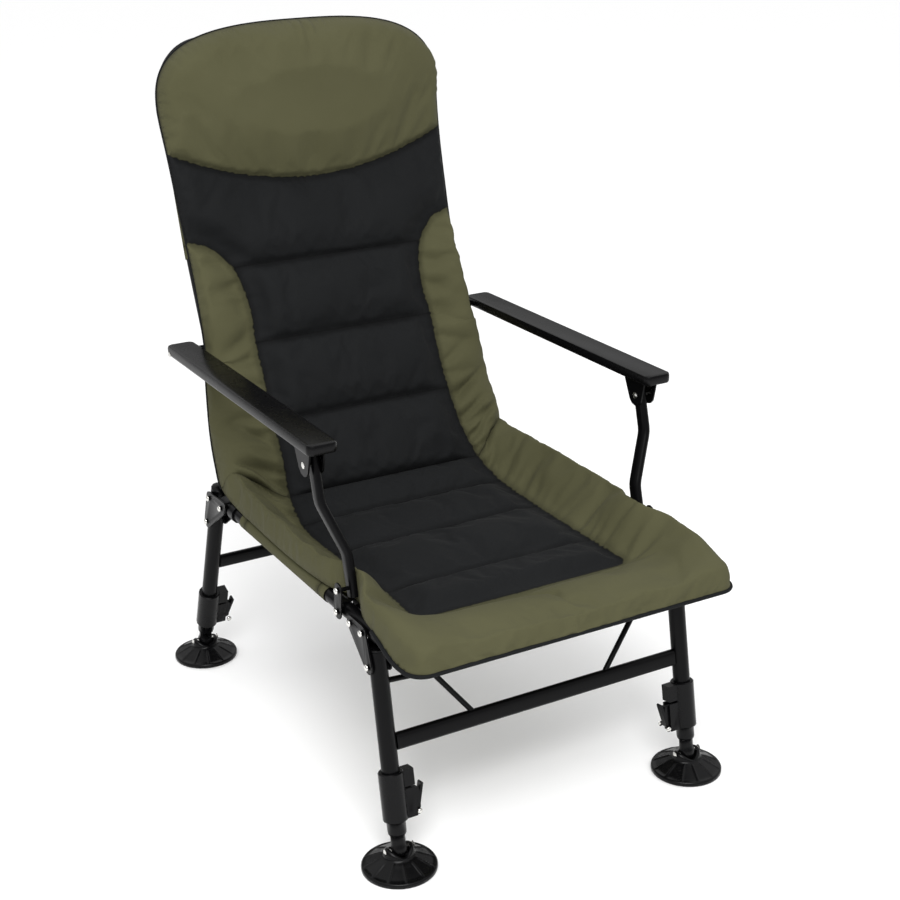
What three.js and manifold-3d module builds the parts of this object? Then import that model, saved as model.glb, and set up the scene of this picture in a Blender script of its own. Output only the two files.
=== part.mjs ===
// Folding carp fishing chair: a steel tube frame with four telescopic legs on mud feet,
// a reclined back, swinging armrests and a channelled mattress.
// Millimetres, +X to the chair's side, -Y is the front, +Z is up, the floor is at zero.
import * as THREE from 'three';
import { mergeVertices } from 'three/addons/utils/BufferGeometryUtils.js';
import Module from 'manifold-3d';

const wasm = await Module();
wasm.setup();

// Driving sizes of the seat frame
const rail_half_spacing = 243;
const rail_height = 335;
const rail_diameter = 22;
const tube_wall = 1.5;
const rail_rear_y = 268;
const front_tube_y = -322;
const frame_bend_radius = 60;
const rear_cross_tube_inset = 74;
const rear_cross_tube_diameter = 18;

// Driving sizes of the back and the armrests
const hinge_reach = 28;
const hinge_rise = 62;
const armrest_pivot_reach = 44;
const armrest_pivot_rise = 171;
const back_inset = 21;
const back_tube_diameter = 20;
const back_upper_reach = 133;
const back_upper_rise = 447;
const back_corner_radius = 80;
const armrest_shift = 3.4;
const armrest_width = 44.4;
const armrest_thickness = 16;
const armrest_length = 527;
const armrest_rear_overhang = 15;
const post_pivot_y = -173;
const post_pivot_rise = 33;
const post_inset = 6;
const post_step = 28;
const post_width = 22;
const post_thickness = 12;

// Driving sizes of the legs and the feet
const leg_tube_diameter = 25;
const inner_tube_diameter = 21;
const front_pivot_inset = 64;
const front_pivot_drop = 44;
const front_foot_reach = 44;
const rear_pivot_inset = 18;
const rear_apex_reach = 66;
const rear_apex_drop = 46;
const rear_foot_reach = 96;
const ball_height = 30;
const ball_diameter = 28;
const foot_diameter = 105;
const collar_diameter = 35;
const collar_length = 71;
const collar_bottom_rise = 42;
const front_crossbar_share = 0.25;
const rear_crossbar_share = 0.3767;
const crossbar_height = 25;
const crossbar_depth = 12;
const stay_rod_diameter = 8;

// Driving sizes of the mattress
const mattress_top_margin = 32;
const mattress_front_overhang = 44;
const mattress_side_overhang = 7;
const crease_rise = 43;
const seat_sag = 46;
const fabric_thickness = 1.6;

// Clearances and small sizes that many pieces share
const gap = 0.3;
const running_gap = 0.5;
const plate_thickness = 2.5;
const plate_offset = 13;
const rivet_radius = 3;
const rivet_head_radius = 5;
const rivet_head_height = 2.2;
const cut_overrun = 1;

const tube_sides = 12;
const bore_sides = 8;
const rivet_sides = 8;
const bend_step_angle = Math.PI / 9;

// Places that follow from the driving sizes
const rear_cross_tube_y = rail_rear_y - rear_cross_tube_inset;
const hinge_y = rail_rear_y + hinge_reach;
const hinge_z = rail_height + hinge_rise;
const armrest_pivot_y = hinge_y + armrest_pivot_reach;
const armrest_pivot_z = hinge_z + armrest_pivot_rise;
const back_half_spacing = rail_half_spacing - back_inset;
const post_pivot_z = rail_height + post_pivot_rise;
const post_lower_half_spacing = rail_half_spacing - post_inset;
const post_upper_half_spacing = post_lower_half_spacing + post_step;
const armrest_half_spacing = post_upper_half_spacing + armrest_shift;
const front_pivot_y = front_tube_y + front_pivot_inset;
const front_pivot_z = rail_height - front_pivot_drop;
const front_foot_y = front_pivot_y - front_foot_reach;
const rear_pivot_y = rail_rear_y - rear_pivot_inset;
const rear_apex_y = rear_pivot_y + rear_apex_reach;
const rear_apex_z = rail_height - rear_apex_drop;
const rear_foot_y = rear_apex_y + rear_foot_reach;
const collar_top_z = ball_height + collar_bottom_rise + collar_length;
const front_crossbar_z = collar_top_z + front_crossbar_share * (front_pivot_z - collar_top_z);
const rear_crossbar_z = collar_top_z + rear_crossbar_share * (rear_apex_z - collar_top_z);
const mattress_top_z = armrest_pivot_z + back_upper_rise + mattress_top_margin;
const mattress_front_y = front_tube_y - mattress_front_overhang;
const crease_z = rail_height + crease_rise;

const rail_radius = rail_diameter / 2;
const back_tube_radius = back_tube_diameter / 2;
const leg_tube_radius = leg_tube_diameter / 2;
const ball_radius = ball_diameter / 2;
const foot_radius = foot_diameter / 2;
const collar_radius = collar_diameter / 2;
const sides = [['left', -1], ['right', 1]];

const powder_coat = { color: 0x1c1d1f, roughness: 0.45, metalness: 0.2 };
const black_plastic = { color: 0x17181a, roughness: 0.5, metalness: 0 };
const nickel = { color: 0xd8d8d6, roughness: 0.25, metalness: 1 };
const olive_fabric = { color: 0x5e5d42, roughness: 0.9, metalness: 0 };
const black_fabric = { color: 0x26272a, roughness: 0.9, metalness: 0 };

const chair = new THREE.Group();

function add_mesh(parent, name, geometry, finish) {
  const mesh = new THREE.Mesh(geometry, new THREE.MeshStandardMaterial(finish));
  mesh.name = name;
  parent.add(mesh);
  return mesh;
}

// Solids that are joined and cut
function to_solid(geometry) {
  const bare = geometry.index ? geometry.toNonIndexed() : geometry.clone();
  bare.deleteAttribute('normal');
  bare.deleteAttribute('uv');
  const merged = mergeVertices(bare);
  const mesh = new wasm.Mesh({
    numProp: 3,
    vertProperties: new Float32Array(merged.attributes.position.array),
    triVerts: new Uint32Array(merged.index.array),
  });
  return new wasm.Manifold(mesh);
}

function to_geometry(solid) {
  const mesh = solid.getMesh();
  const geometry = new THREE.BufferGeometry();
  geometry.setAttribute('position', new THREE.BufferAttribute(mesh.vertProperties, 3));
  geometry.setIndex(new THREE.BufferAttribute(mesh.triVerts, 1));
  geometry.computeVertexNormals();
  return geometry;
}

function join(geometries) {
  const [first, ...others] = geometries.map(to_solid);
  return to_geometry(others.reduce((whole, piece) => whole.add(piece), first));
}

function cut(geometry, cutters) {
  const remove = (whole, cutter) => whole.subtract(cutter);
  return to_geometry(cutters.map(to_solid).reduce(remove, to_solid(geometry)));
}

// Outlines
function ring_points(radius, count) {
  return Array.from({ length: count }, (_, i) => {
    const angle = (i / count) * Math.PI * 2;
    return new THREE.Vector2(radius * Math.cos(angle), radius * Math.sin(angle));
  });
}

function ring_shape(outer_radius, inner_radius, count, inner_count = count) {
  const shape = new THREE.Shape(ring_points(outer_radius, count));
  if (inner_radius > 0) shape.holes.push(new THREE.Path(ring_points(inner_radius, inner_count)));
  return shape;
}

// A flat oval with round ends, width along its first axis
function oval_points(width, depth, steps) {
  const radius = Math.min(width, depth) / 2;
  const reach_x = width / 2 - radius;
  const reach_y = depth / 2 - radius;
  const points = [];
  for (let i = 0; i < steps * 4; i++) {
    const quarter = Math.floor(i / steps);
    const angle = ((quarter + (i % steps) / (steps - 1)) * Math.PI) / 2;
    const sign_x = quarter === 0 || quarter === 3 ? 1 : -1;
    const sign_y = quarter < 2 ? 1 : -1;
    points.push(new THREE.Vector2(
      sign_x * reach_x + radius * Math.cos(angle), sign_y * reach_y + radius * Math.sin(angle)));
  }
  return points.filter((p, i) => p.distanceTo(points[(i + 1) % points.length]) > gap);
}

function oval_shape(width, depth, wall, steps) {
  const shape = new THREE.Shape(oval_points(width, depth, steps));
  if (wall > 0) shape.holes.push(new THREE.Path(oval_points(width - 2 * wall, depth - 2 * wall, steps)));
  return shape;
}

// The outline that a belt round some circles takes
function belt_shape(circles) {
  const arc_count = 12;
  const cloud = circles.flatMap(([y, z, radius]) => ring_points(radius, arc_count)
    .map((p) => new THREE.Vector2(p.x + y, p.y + z)));
  cloud.sort((a, b) => a.x - b.x || a.y - b.y);
  const turn = (o, a, b) => (a.x - o.x) * (b.y - o.y) - (a.y - o.y) * (b.x - o.x);
  const half = (points) => {
    const chain = [];
    for (const p of points) {
      while (chain.length > 1 && turn(chain[chain.length - 2], chain[chain.length - 1], p) <= 0) chain.pop();
      chain.push(p);
    }
    chain.pop();
    return chain;
  };
  return new THREE.Shape([...half(cloud), ...half([...cloud].reverse())]);
}

// Forms
const yz_plane = new THREE.Matrix4().makeBasis(
  new THREE.Vector3(0, 1, 0), new THREE.Vector3(0, 0, 1), new THREE.Vector3(1, 0, 0));

// A plate with its outline in Y and Z, from one X to another
function plate(shape, x_from, x_to) {
  const low = Math.min(x_from, x_to);
  const geometry = new THREE.ExtrudeGeometry(shape, { depth: Math.abs(x_to - x_from), bevelEnabled: false });
  return geometry.applyMatrix4(yz_plane).translate(low, 0, 0);
}

// A round bar along X
function cross_bar(x_from, x_to, y, z, radius, count) {
  const place = new THREE.Vector2(y, z);
  return plate(new THREE.Shape(ring_points(radius, count).map((p) => p.add(place))), x_from, x_to);
}

// A block between two corners
function block(low, high) {
  const size = high.map((value, i) => value - low[i]);
  return new THREE.BoxGeometry(...size).translate(...low.map((value, i) => value + size[i] / 2));
}

// A turned form about the Z axis, from pairs of radius and height
function turned(profile, count) {
  const points = profile.map(([radius, z]) => new THREE.Vector2(radius, z));
  return new THREE.LatheGeometry(points, count).rotateX(Math.PI / 2);
}

// A rivet along X with a domed head at each end
function rivet(x_from, x_to, y, z, radius = rivet_radius, head_radius = rivet_head_radius) {
  const low = Math.min(x_from, x_to);
  const high = Math.max(x_from, x_to);
  const profile = [
    [0, low - rivet_head_height], [head_radius, low], [radius, low],
    [radius, high], [head_radius, high], [0, high + rivet_head_height],
  ];
  return turned(profile, rivet_sides).rotateY(Math.PI / 2).translate(0, y, z);
}

// A path of straight runs and round bends, sampled at the ends of the runs and along the bends
class BentPath extends THREE.Curve {
  constructor(corners, radii) {
    super();
    this.stations = [corners[0].clone()];
    this.tangents = [corners[1].clone().sub(corners[0]).normalize()];
    for (let i = 1; i < corners.length - 1; i++) {
      const back = corners[i - 1].clone().sub(corners[i]).normalize();
      const ahead = corners[i + 1].clone().sub(corners[i]).normalize();
      const half = back.angleTo(ahead) / 2;
      const start = corners[i].clone().addScaledVector(back, radii[i - 1] / Math.tan(half));
      const inward = back.clone().add(ahead).normalize();
      const centre = corners[i].clone().addScaledVector(inward, radii[i - 1] / Math.sin(half));
      const spoke = start.clone().sub(centre);
      const heading = back.clone().negate();
      const steps = Math.ceil((Math.PI - 2 * half) / bend_step_angle);
      for (let k = 0; k <= steps; k++) {
        const angle = ((Math.PI - 2 * half) * k) / steps;
        this.stations.push(centre.clone().addScaledVector(spoke, Math.cos(angle))
          .addScaledVector(heading, radii[i - 1] * Math.sin(angle)));
        this.tangents.push(heading.clone().multiplyScalar(Math.cos(angle))
          .addScaledVector(spoke.clone().normalize(), -Math.sin(angle)));
      }
    }
    this.stations.push(corners[corners.length - 1].clone());
    this.tangents.push(corners[corners.length - 1].clone().sub(corners[corners.length - 2]).normalize());
  }

  getSpacedPoints() {
    return this.stations;
  }

  getTangentAt(share) {
    return this.tangents[Math.round(share * (this.tangents.length - 1))].clone();
  }
}

function swept(shape, path) {
  return new THREE.ExtrudeGeometry(shape, {
    steps: path.stations.length - 1, bevelEnabled: false, extrudePath: path });
}

function bent_tube(corners, radii, outer_radius, wall) {
  const section = ring_shape(outer_radius, outer_radius - wall, tube_sides, bore_sides);
  return swept(section, new BentPath(corners, radii));
}

function smooth_step(value) {
  const t = Math.min(Math.max(value, 0), 1);
  return t * t * (3 - 2 * t);
}

// A padded form: a grid of front points and a grid of rear points, closed round the edge
function padded(columns, rows, front, rear) {
  const positions = [];
  for (const face of [front, rear]) {
    for (const v of rows) for (const u of columns) positions.push(...face(u, v));
  }
  const width = columns.length;
  const half = width * rows.length;
  const index = [];
  const quad = (a, b, c, d) => index.push(a, b, c, a, c, d);
  for (let r = 0; r < rows.length - 1; r++) {
    for (let c = 0; c < width - 1; c++) {
      const at = r * width + c;
      quad(at, at + 1, at + width + 1, at + width);
      quad(half + at, half + at + width, half + at + width + 1, half + at + 1);
    }
    const left = r * width;
    const right = left + width - 1;
    quad(left, left + width, half + left + width, half + left);
    quad(right + width, right, half + right, half + right + width);
  }
  const last = (rows.length - 1) * width;
  for (let c = 0; c < width - 1; c++) {
    quad(c + 1, c, half + c, half + c + 1);
    quad(last + c, last + c + 1, half + last + c + 1, half + last + c);
  }
  const geometry = new THREE.BufferGeometry();
  geometry.setAttribute('position', new THREE.Float32BufferAttribute(positions, 3));
  geometry.setIndex(index);
  geometry.computeVertexNormals();
  return geometry;
}

// Seat frame: side rails and front tube bent from one tube, with a rear cross tube welded between
const point = (x, y, z) => new THREE.Vector3(x, y, z);
const rivet_hole_radius = rivet_radius + gap;
const front_rivet_reach = 15;
const front_rivet_spacing = 34;
const post_rivet_reach = 4;
const front_rail_rivet_ys = [0, front_rivet_spacing].map((step) => front_pivot_y + front_rivet_reach + step);
const post_rail_rivet_y = post_pivot_y + post_rivet_reach;
const rail_rivet_ys = [...front_rail_rivet_ys, post_rail_rivet_y, rear_pivot_y];

function seat_frame() {
  const rails = bent_tube([
    point(-rail_half_spacing, rail_rear_y, rail_height), point(-rail_half_spacing, front_tube_y, rail_height),
    point(rail_half_spacing, front_tube_y, rail_height), point(rail_half_spacing, rail_rear_y, rail_height),
  ], [frame_bend_radius, frame_bend_radius], rail_radius, tube_wall);
  const cross_reach = rail_half_spacing - rail_radius + tube_wall / 2;
  const cross_tube = cross_bar(-cross_reach, cross_reach, rear_cross_tube_y, rail_height,
    rear_cross_tube_diameter / 2, tube_sides);
  const reach = rail_half_spacing + rail_diameter;
  const holes = rail_rivet_ys.map(
    (y) => cross_bar(-reach, reach, y, rail_height, rivet_hole_radius, rivet_sides));
  return cut(join([rails, cross_tube]), holes);
}
add_mesh(chair, 'seat_frame', seat_frame(), powder_coat);

// Domed plastic plug that closes a tube's end, with its axis along Z and the tube's end at zero
const plug_depth_share = 0.8;
const dome_shoulder_share = 0.6;
const dome_rise_shares = [0.25, 0.33];

function tube_plug(tube_radius, wall) {
  const bore_radius = tube_radius - wall;
  const plug_radius = bore_radius * Math.cos(Math.PI / bore_sides) - gap;
  const plug_depth = tube_radius * plug_depth_share;
  const flange_height = 2 * wall;
  return turned([
    [0, -plug_depth], [plug_radius, -plug_depth], [plug_radius, gap], [tube_radius, gap],
    [tube_radius, flange_height],
    [tube_radius * dome_shoulder_share, flange_height + tube_radius * dome_rise_shares[0]],
    [0, flange_height + tube_radius * dome_rise_shares[1]],
  ], tube_sides);
}

function rail_cap(side) {
  return tube_plug(rail_radius, tube_wall).rotateX(-Math.PI / 2)
    .translate(side * rail_half_spacing, rail_rear_y, rail_height);
}
for (const [name, side] of sides) add_mesh(chair, `rail_cap_${name}`, rail_cap(side), black_plastic);

// Lines of the two leg frames from the side, each from its upper rivet down to the ball of the foot
function leg_line(rivet_y, rivet_z, foot_y) {
  const reach = foot_y - rivet_y;
  const drop = rivet_z - ball_height;
  return { y: rivet_y, z: rivet_z, angle: Math.atan2(reach, drop), ball: -Math.hypot(reach, drop) };
}

const front_leg = leg_line(front_pivot_y, front_pivot_z, front_foot_y);
const rear_leg = leg_line(rear_apex_y, rear_apex_z, rear_foot_y);
const leg_top_overhang = 20;

// Pressed brackets that hold the front legs: two plates and a web that stops the leg's upper end
const plate_inner = rail_half_spacing - plate_offset;
const plate_outer = rail_half_spacing + plate_offset;
const bracket_rim = 11;

// Two plates either side of a tube, with the rivets that hold them
function plate_pair(side, shape, rivets) {
  const face_in = side * (plate_inner - plate_thickness);
  const face_out = side * (plate_outer + plate_thickness);
  return [
    plate(shape, side * plate_outer, face_out), plate(shape, side * plate_inner, face_in),
    ...rivets.map(([y, z]) => rivet(face_in, face_out, y, z)),
  ];
}

function front_leg_bracket(side) {
  const rivets = [...front_rail_rivet_ys.map((y) => [y, rail_height]), [front_pivot_y, front_pivot_z]];
  const outline = belt_shape(rivets.map(([y, z]) => [y, z, bracket_rim]));
  const leg_end = leg_top_overhang + 2 * tube_wall;
  const stop_y = front_pivot_y - leg_end * Math.sin(front_leg.angle)
    + leg_tube_radius * Math.cos(front_leg.angle) + gap;
  const stop_top = rail_height - rail_radius - 2 * gap;
  const web = block(
    [side * rail_half_spacing - plate_offset - plate_thickness / 2, stop_y,
      front_pivot_z + leg_tube_radius + 2 * running_gap],
    [side * rail_half_spacing + plate_offset + plate_thickness / 2, stop_y + plate_thickness, stop_top]);
  return join([...plate_pair(side, outline, rivets), web]);
}

// Pressed brackets that carry the arm posts: two plates and a web that rests on the rail
function post_bracket(side) {
  const rivets = [[post_rail_rivet_y, rail_height], [post_pivot_y, post_pivot_z]];
  const outline = belt_shape(rivets.map(([y, z]) => [y, z, bracket_rim]));
  const web_bottom = rail_height + rail_radius + gap;
  const web_reach_x = plate_offset + plate_thickness / 2;
  const web_reach_y = bracket_rim / 3;
  const web = block(
    [side * rail_half_spacing - web_reach_x, post_rail_rivet_y - web_reach_y, web_bottom],
    [side * rail_half_spacing + web_reach_x, post_rail_rivet_y + web_reach_y, web_bottom + plate_thickness]);
  return join([...plate_pair(side, outline, rivets), web]);
}

// Back hinge brackets: a collar round the rail with an upright lug that bends rearward to the hinge pin
const lug_clearance = 3;
const lug_inner_x = back_half_spacing + back_tube_radius + lug_clearance;
const lug_thickness = 4;
const lug_half_width = 9;
const hinge_collar_inset = 40;
const hinge_collar_rear_y = rail_rear_y - hinge_collar_inset;
const hinge_collar_length = 18;
const lug_elbow_rise = 42;

function hinge_bracket(side) {
  const collar_y = hinge_collar_rear_y - hinge_collar_length / 2;
  const collar = new THREE.ExtrudeGeometry(
    ring_shape(rail_radius + gap + plate_thickness, rail_radius + gap, tube_sides),
    { depth: hinge_collar_length, bevelEnabled: false })
    .rotateX(Math.PI / 2).translate(side * rail_half_spacing, hinge_collar_rear_y, rail_height);
  const foot = [collar_y, rail_height + rail_radius + lug_half_width, lug_half_width];
  const elbow = [collar_y + lug_half_width, rail_height + lug_elbow_rise, lug_half_width];
  const eye = [hinge_y, hinge_z, lug_half_width];
  const x_inner = side * lug_inner_x;
  const x_outer = side * (lug_inner_x + lug_thickness);
  const pin = rivet(side * (back_half_spacing - back_tube_radius - gap), x_outer, hinge_y, hinge_z);
  const rail_room = new THREE.ExtrudeGeometry(ring_shape(rail_radius + gap, 0, tube_sides),
    { depth: 2 * hinge_collar_length, bevelEnabled: false })
    .rotateX(Math.PI / 2).translate(side * rail_half_spacing, collar_y + hinge_collar_length, rail_height);
  const lug = [[foot, elbow], [elbow, eye]].map((ends) => plate(belt_shape(ends), x_inner, x_outer));
  return cut(join([collar, ...lug, pin]), [rail_room]);
}

for (const [name, side] of sides) {
  add_mesh(chair, `front_leg_bracket_${name}`, front_leg_bracket(side), powder_coat);
  add_mesh(chair, `post_bracket_${name}`, post_bracket(side), powder_coat);
  add_mesh(chair, `back_hinge_bracket_${name}`, hinge_bracket(side), powder_coat);
}

// Line of the back tubes from the side, from the hinge to the top corners
const back_line_shares = [[0.421, 0.304], [0.872, 0.754], [1, 1]];
const back_bend_radius = 250;
const back_line = [
  [hinge_y, hinge_z], [armrest_pivot_y, armrest_pivot_z],
  ...back_line_shares.map(([reach_share, rise_share]) => [
    armrest_pivot_y + reach_share * back_upper_reach, armrest_pivot_z + rise_share * back_upper_rise]),
];

function back_tube_y(z) {
  let i = 1;
  while (i < back_line.length - 1 && z > back_line[i][1]) i++;
  const [y_low, z_low] = back_line[i - 1];
  const [y_high, z_high] = back_line[i];
  return y_low + ((z - z_low) * (y_high - y_low)) / (z_high - z_low);
}

// Back frame: an inverted U of tube, round lower ends, a welded lower cross tube and armrest bushes
const armrest_inner = armrest_half_spacing - armrest_width / 2;
const armrest_outer = armrest_half_spacing + armrest_width / 2;
const bush_radius = 7;
const back_cross_tube_z = 446;
const back_cross_tube_radius = 8;
const back_end_overhang = 10;

function back_frame() {
  const [[y0, z0], [y1, z1]] = back_line;
  const end_share = back_end_overhang / Math.hypot(y1 - y0, z1 - z0);
  const low_end = [y0 - (y1 - y0) * end_share, z0 - (z1 - z0) * end_share];
  const line = [low_end, ...back_line.slice(1)];
  const corners = [
    ...line.map(([y, z]) => point(-back_half_spacing, y, z)),
    ...[...line].reverse().map(([y, z]) => point(back_half_spacing, y, z)),
  ];
  const bends = line.slice(1, -1).map(() => back_bend_radius);
  const radii = [...bends, back_corner_radius, back_corner_radius, ...bends];
  const tube = bent_tube(corners, radii, back_tube_radius, tube_wall);
  const cross_reach = back_half_spacing - back_tube_radius + tube_wall / 2;
  const cross_tube = cross_bar(-cross_reach, cross_reach, back_tube_y(back_cross_tube_z), back_cross_tube_z,
    back_cross_tube_radius, tube_sides);
  const bushes = sides.map(([, side]) => cross_bar(
    side * (back_half_spacing + back_tube_radius - tube_wall / 2), side * (armrest_inner - gap),
    armrest_pivot_y, armrest_pivot_z, bush_radius, tube_sides));
  const reach = armrest_inner + cut_overrun;
  const holes = [[hinge_y, hinge_z], [armrest_pivot_y, armrest_pivot_z]].map(
    ([y, z]) => cross_bar(-reach, reach, y, z, rivet_hole_radius, rivet_sides));
  return cut(join([tube, cross_tube, ...bushes]), holes);
}
add_mesh(chair, 'back_frame', back_frame(), powder_coat);

function armrest_bolt(side) {
  return rivet(side * (back_half_spacing - back_tube_radius - gap), side * (armrest_outer + gap),
    armrest_pivot_y, armrest_pivot_z);
}
for (const [name, side] of sides) add_mesh(chair, `armrest_bolt_${name}`, armrest_bolt(side), nickel);

// Armrests: moulded bars with rounded upper edges
const armrest_top_rise = 12.8;
const armrest_top_z = armrest_pivot_z + armrest_top_rise;
const armrest_edge_radius = 4;
const armrest_corner_radius = 6;
const armrest_rear_y = armrest_pivot_y + armrest_rear_overhang;
const armrest_front_y = armrest_rear_y - armrest_length;

function armrest(side) {
  const half_width = armrest_width / 2 - armrest_edge_radius;
  const half_length = armrest_length / 2 - armrest_edge_radius;
  const outline = new THREE.Shape();
  const corner = armrest_corner_radius;
  outline.moveTo(-half_width + corner, -half_length);
  outline.lineTo(half_width - corner, -half_length);
  outline.absarc(half_width - corner, -half_length + corner, corner, -Math.PI / 2, 0);
  outline.absarc(half_width - corner, half_length - corner, corner, 0, Math.PI / 2);
  outline.absarc(-half_width + corner, half_length - corner, corner, Math.PI / 2, Math.PI);
  outline.absarc(-half_width + corner, -half_length + corner, corner, Math.PI, 1.5 * Math.PI);
  const bar = new THREE.ExtrudeGeometry(outline, {
    depth: armrest_thickness - 2 * armrest_edge_radius, bevelEnabled: true,
    bevelThickness: armrest_edge_radius, bevelSize: armrest_edge_radius, bevelSegments: 2, curveSegments: 4,
  });
  bar.translate(side * armrest_half_spacing, (armrest_front_y + armrest_rear_y) / 2,
    armrest_top_z - armrest_thickness + armrest_edge_radius);
  const bore = cross_bar(side * (armrest_inner - cut_overrun), side * (armrest_outer + cut_overrun),
    armrest_pivot_y, armrest_pivot_z, rivet_hole_radius, rivet_sides);
  return cut(bar, [bore]);
}

// Pressed bracket under an armrest's front end: a top plate with two round ears
const post_top_y = post_pivot_y + armrest_pivot_y - hinge_y;
const post_top_z = post_pivot_z + armrest_pivot_z - hinge_z;
const ear_radius = 16;
const ear_half_length = 26;
const ear_end_shares = [0.75, 1];
const ear_web_shares = [0.7, 0.95];
const ear_corner_radius = 2;
const ear_outer_clearance = 7;
const ear_outer_x = post_upper_half_spacing + post_thickness / 2 + ear_outer_clearance + plate_thickness;
const ear_inner_x = post_upper_half_spacing - post_thickness / 2 - plate_thickness;
const armrest_bottom_z = armrest_top_z - armrest_thickness;

function armrest_bracket(side) {
  const top_z = armrest_bottom_z - gap;
  const corner_z = top_z - ear_corner_radius;
  const outline = belt_shape([
    [post_top_y, post_top_z, ear_radius],
    [post_top_y - ear_half_length * ear_end_shares[0], corner_z, ear_corner_radius],
    [post_top_y + ear_half_length * ear_end_shares[1], corner_z, ear_corner_radius],
  ]);
  const ears_x = [side * ear_inner_x, side * ear_outer_x];
  const web = block(
    [Math.min(...ears_x), post_top_y - ear_half_length * ear_web_shares[0], top_z - plate_thickness],
    [Math.max(...ears_x), post_top_y + ear_half_length * ear_web_shares[1], top_z]);
  const bracket = join([
    plate(outline, side * ear_outer_x, side * (ear_outer_x - plate_thickness)),
    plate(outline, side * ear_inner_x, side * (ear_inner_x + plate_thickness)),
    web,
  ]);
  return cut(bracket, [cross_bar(side * (ear_inner_x - cut_overrun), side * (ear_outer_x + cut_overrun),
    post_top_y, post_top_z, rivet_hole_radius, rivet_sides)]);
}

function armrest_rivet(side) {
  return rivet(side * (ear_inner_x - gap), side * (ear_outer_x + gap), post_top_y, post_top_z);
}

// Arm posts: flat-oval tube, straight at the seat, stepped outward under the armrest
const post_step_start_rise = 47;
const post_step_end_rise = 122;
const post_end_overhang = 13;
const post_bend_radius = 40;
const post_hole_radius = rivet_radius + 2 * running_gap;

function post(side) {
  const reach_y = post_top_y - post_pivot_y;
  const reach_z = post_top_z - post_pivot_z;
  const length = Math.hypot(reach_y, reach_z);
  const at = (half_spacing, distance) => point(side * half_spacing,
    post_pivot_y + (reach_y * distance) / length, post_pivot_z + (reach_z * distance) / length);
  const path = new BentPath([
    at(post_lower_half_spacing, -post_end_overhang), at(post_lower_half_spacing, post_step_start_rise),
    at(post_upper_half_spacing, post_step_end_rise), at(post_upper_half_spacing, length + post_end_overhang),
  ], [post_bend_radius, post_bend_radius]);
  const tube = swept(oval_shape(post_thickness, post_width, tube_wall, 4), path);
  const bores = [[post_pivot_y, post_pivot_z, rivet_hole_radius], [post_top_y, post_top_z, post_hole_radius]];
  const nearest = Math.min(post_lower_half_spacing, post_upper_half_spacing) - post_width;
  const furthest = Math.max(post_lower_half_spacing, post_upper_half_spacing) + post_width;
  return cut(tube, bores.map(([y, z, radius]) => cross_bar(
    side * nearest, side * furthest, y, z, radius, rivet_sides)));
}

for (const [name, side] of sides) {
  add_mesh(chair, `armrest_${name}`, armrest(side), black_plastic);
  add_mesh(chair, `armrest_bracket_${name}`, armrest_bracket(side), powder_coat);
  add_mesh(chair, `armrest_rivet_${name}`, armrest_rivet(side), nickel);
  add_mesh(chair, `arm_post_${name}`, post(side), powder_coat);
}

// Leg frames. Each piece is made with the leg's upper rivet at the origin and the leg down -Z.
function on_leg(line, x, geometry) {
  return geometry.rotateX(line.angle).translate(x, line.y, line.z);
}

const fitting_gap = 2;
const fitting_length = 21;
const outer_leg_cover = 26;

// Outer leg tube with cross holes for the rivets that pass through it
function outer_leg(line, side, top, hole_heights) {
  const bottom = line.ball + collar_bottom_rise + outer_leg_cover;
  const tube = new THREE.ExtrudeGeometry(ring_shape(leg_tube_radius, leg_tube_radius - tube_wall, tube_sides),
    { depth: top - bottom, bevelEnabled: false }).translate(0, 0, bottom);
  const reach = leg_tube_diameter;
  const holes = hole_heights.map((z) => cross_bar(-reach, reach, 0, z, rivet_hole_radius, rivet_sides));
  return on_leg(line, side * rail_half_spacing, cut(tube, holes));
}

function leg_cap(line, side, top) {
  return on_leg(line, side * rail_half_spacing, tube_plug(leg_tube_radius, tube_wall).translate(0, 0, top));
}

// Crossbar of flat-oval tube welded between a pair of legs
const crossbar_reach = rail_half_spacing - leg_tube_radius - gap;

function crossbar(line, z) {
  const bar = new THREE.ExtrudeGeometry(oval_shape(crossbar_height, crossbar_depth, tube_wall, 5),
    { depth: 2 * crossbar_reach, bevelEnabled: false });
  bar.rotateY(Math.PI / 2).translate(-crossbar_reach, 0, (z - line.z) / Math.cos(line.angle));
  return on_leg(line, 0, bar);
}

// Lock collar: a turned sleeve with an upper lug and two cheeks that hold the cam lever
const collar_sides = 16;
const collar_lug_reach = 13;
const collar_lug_height = 24;
const collar_half_width = 8.5;
const cheek_thickness = 3;
const cheek_height = 42;
const lever_pin_reach = 3.2;
const lever_pin_rise = 5;
const lever_pin_radius = 2;
const lever_pin_head_radius = 4.5;
const lever_nose_radius = 4.5;
const lever_pin_x = collar_radius + lever_pin_reach;

function pin_bar(line, x, radius, reach, count) {
  return new THREE.CylinderGeometry(radius, radius, 2 * reach, count)
    .translate(x, 0, line.ball + collar_bottom_rise + lever_pin_rise);
}

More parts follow.
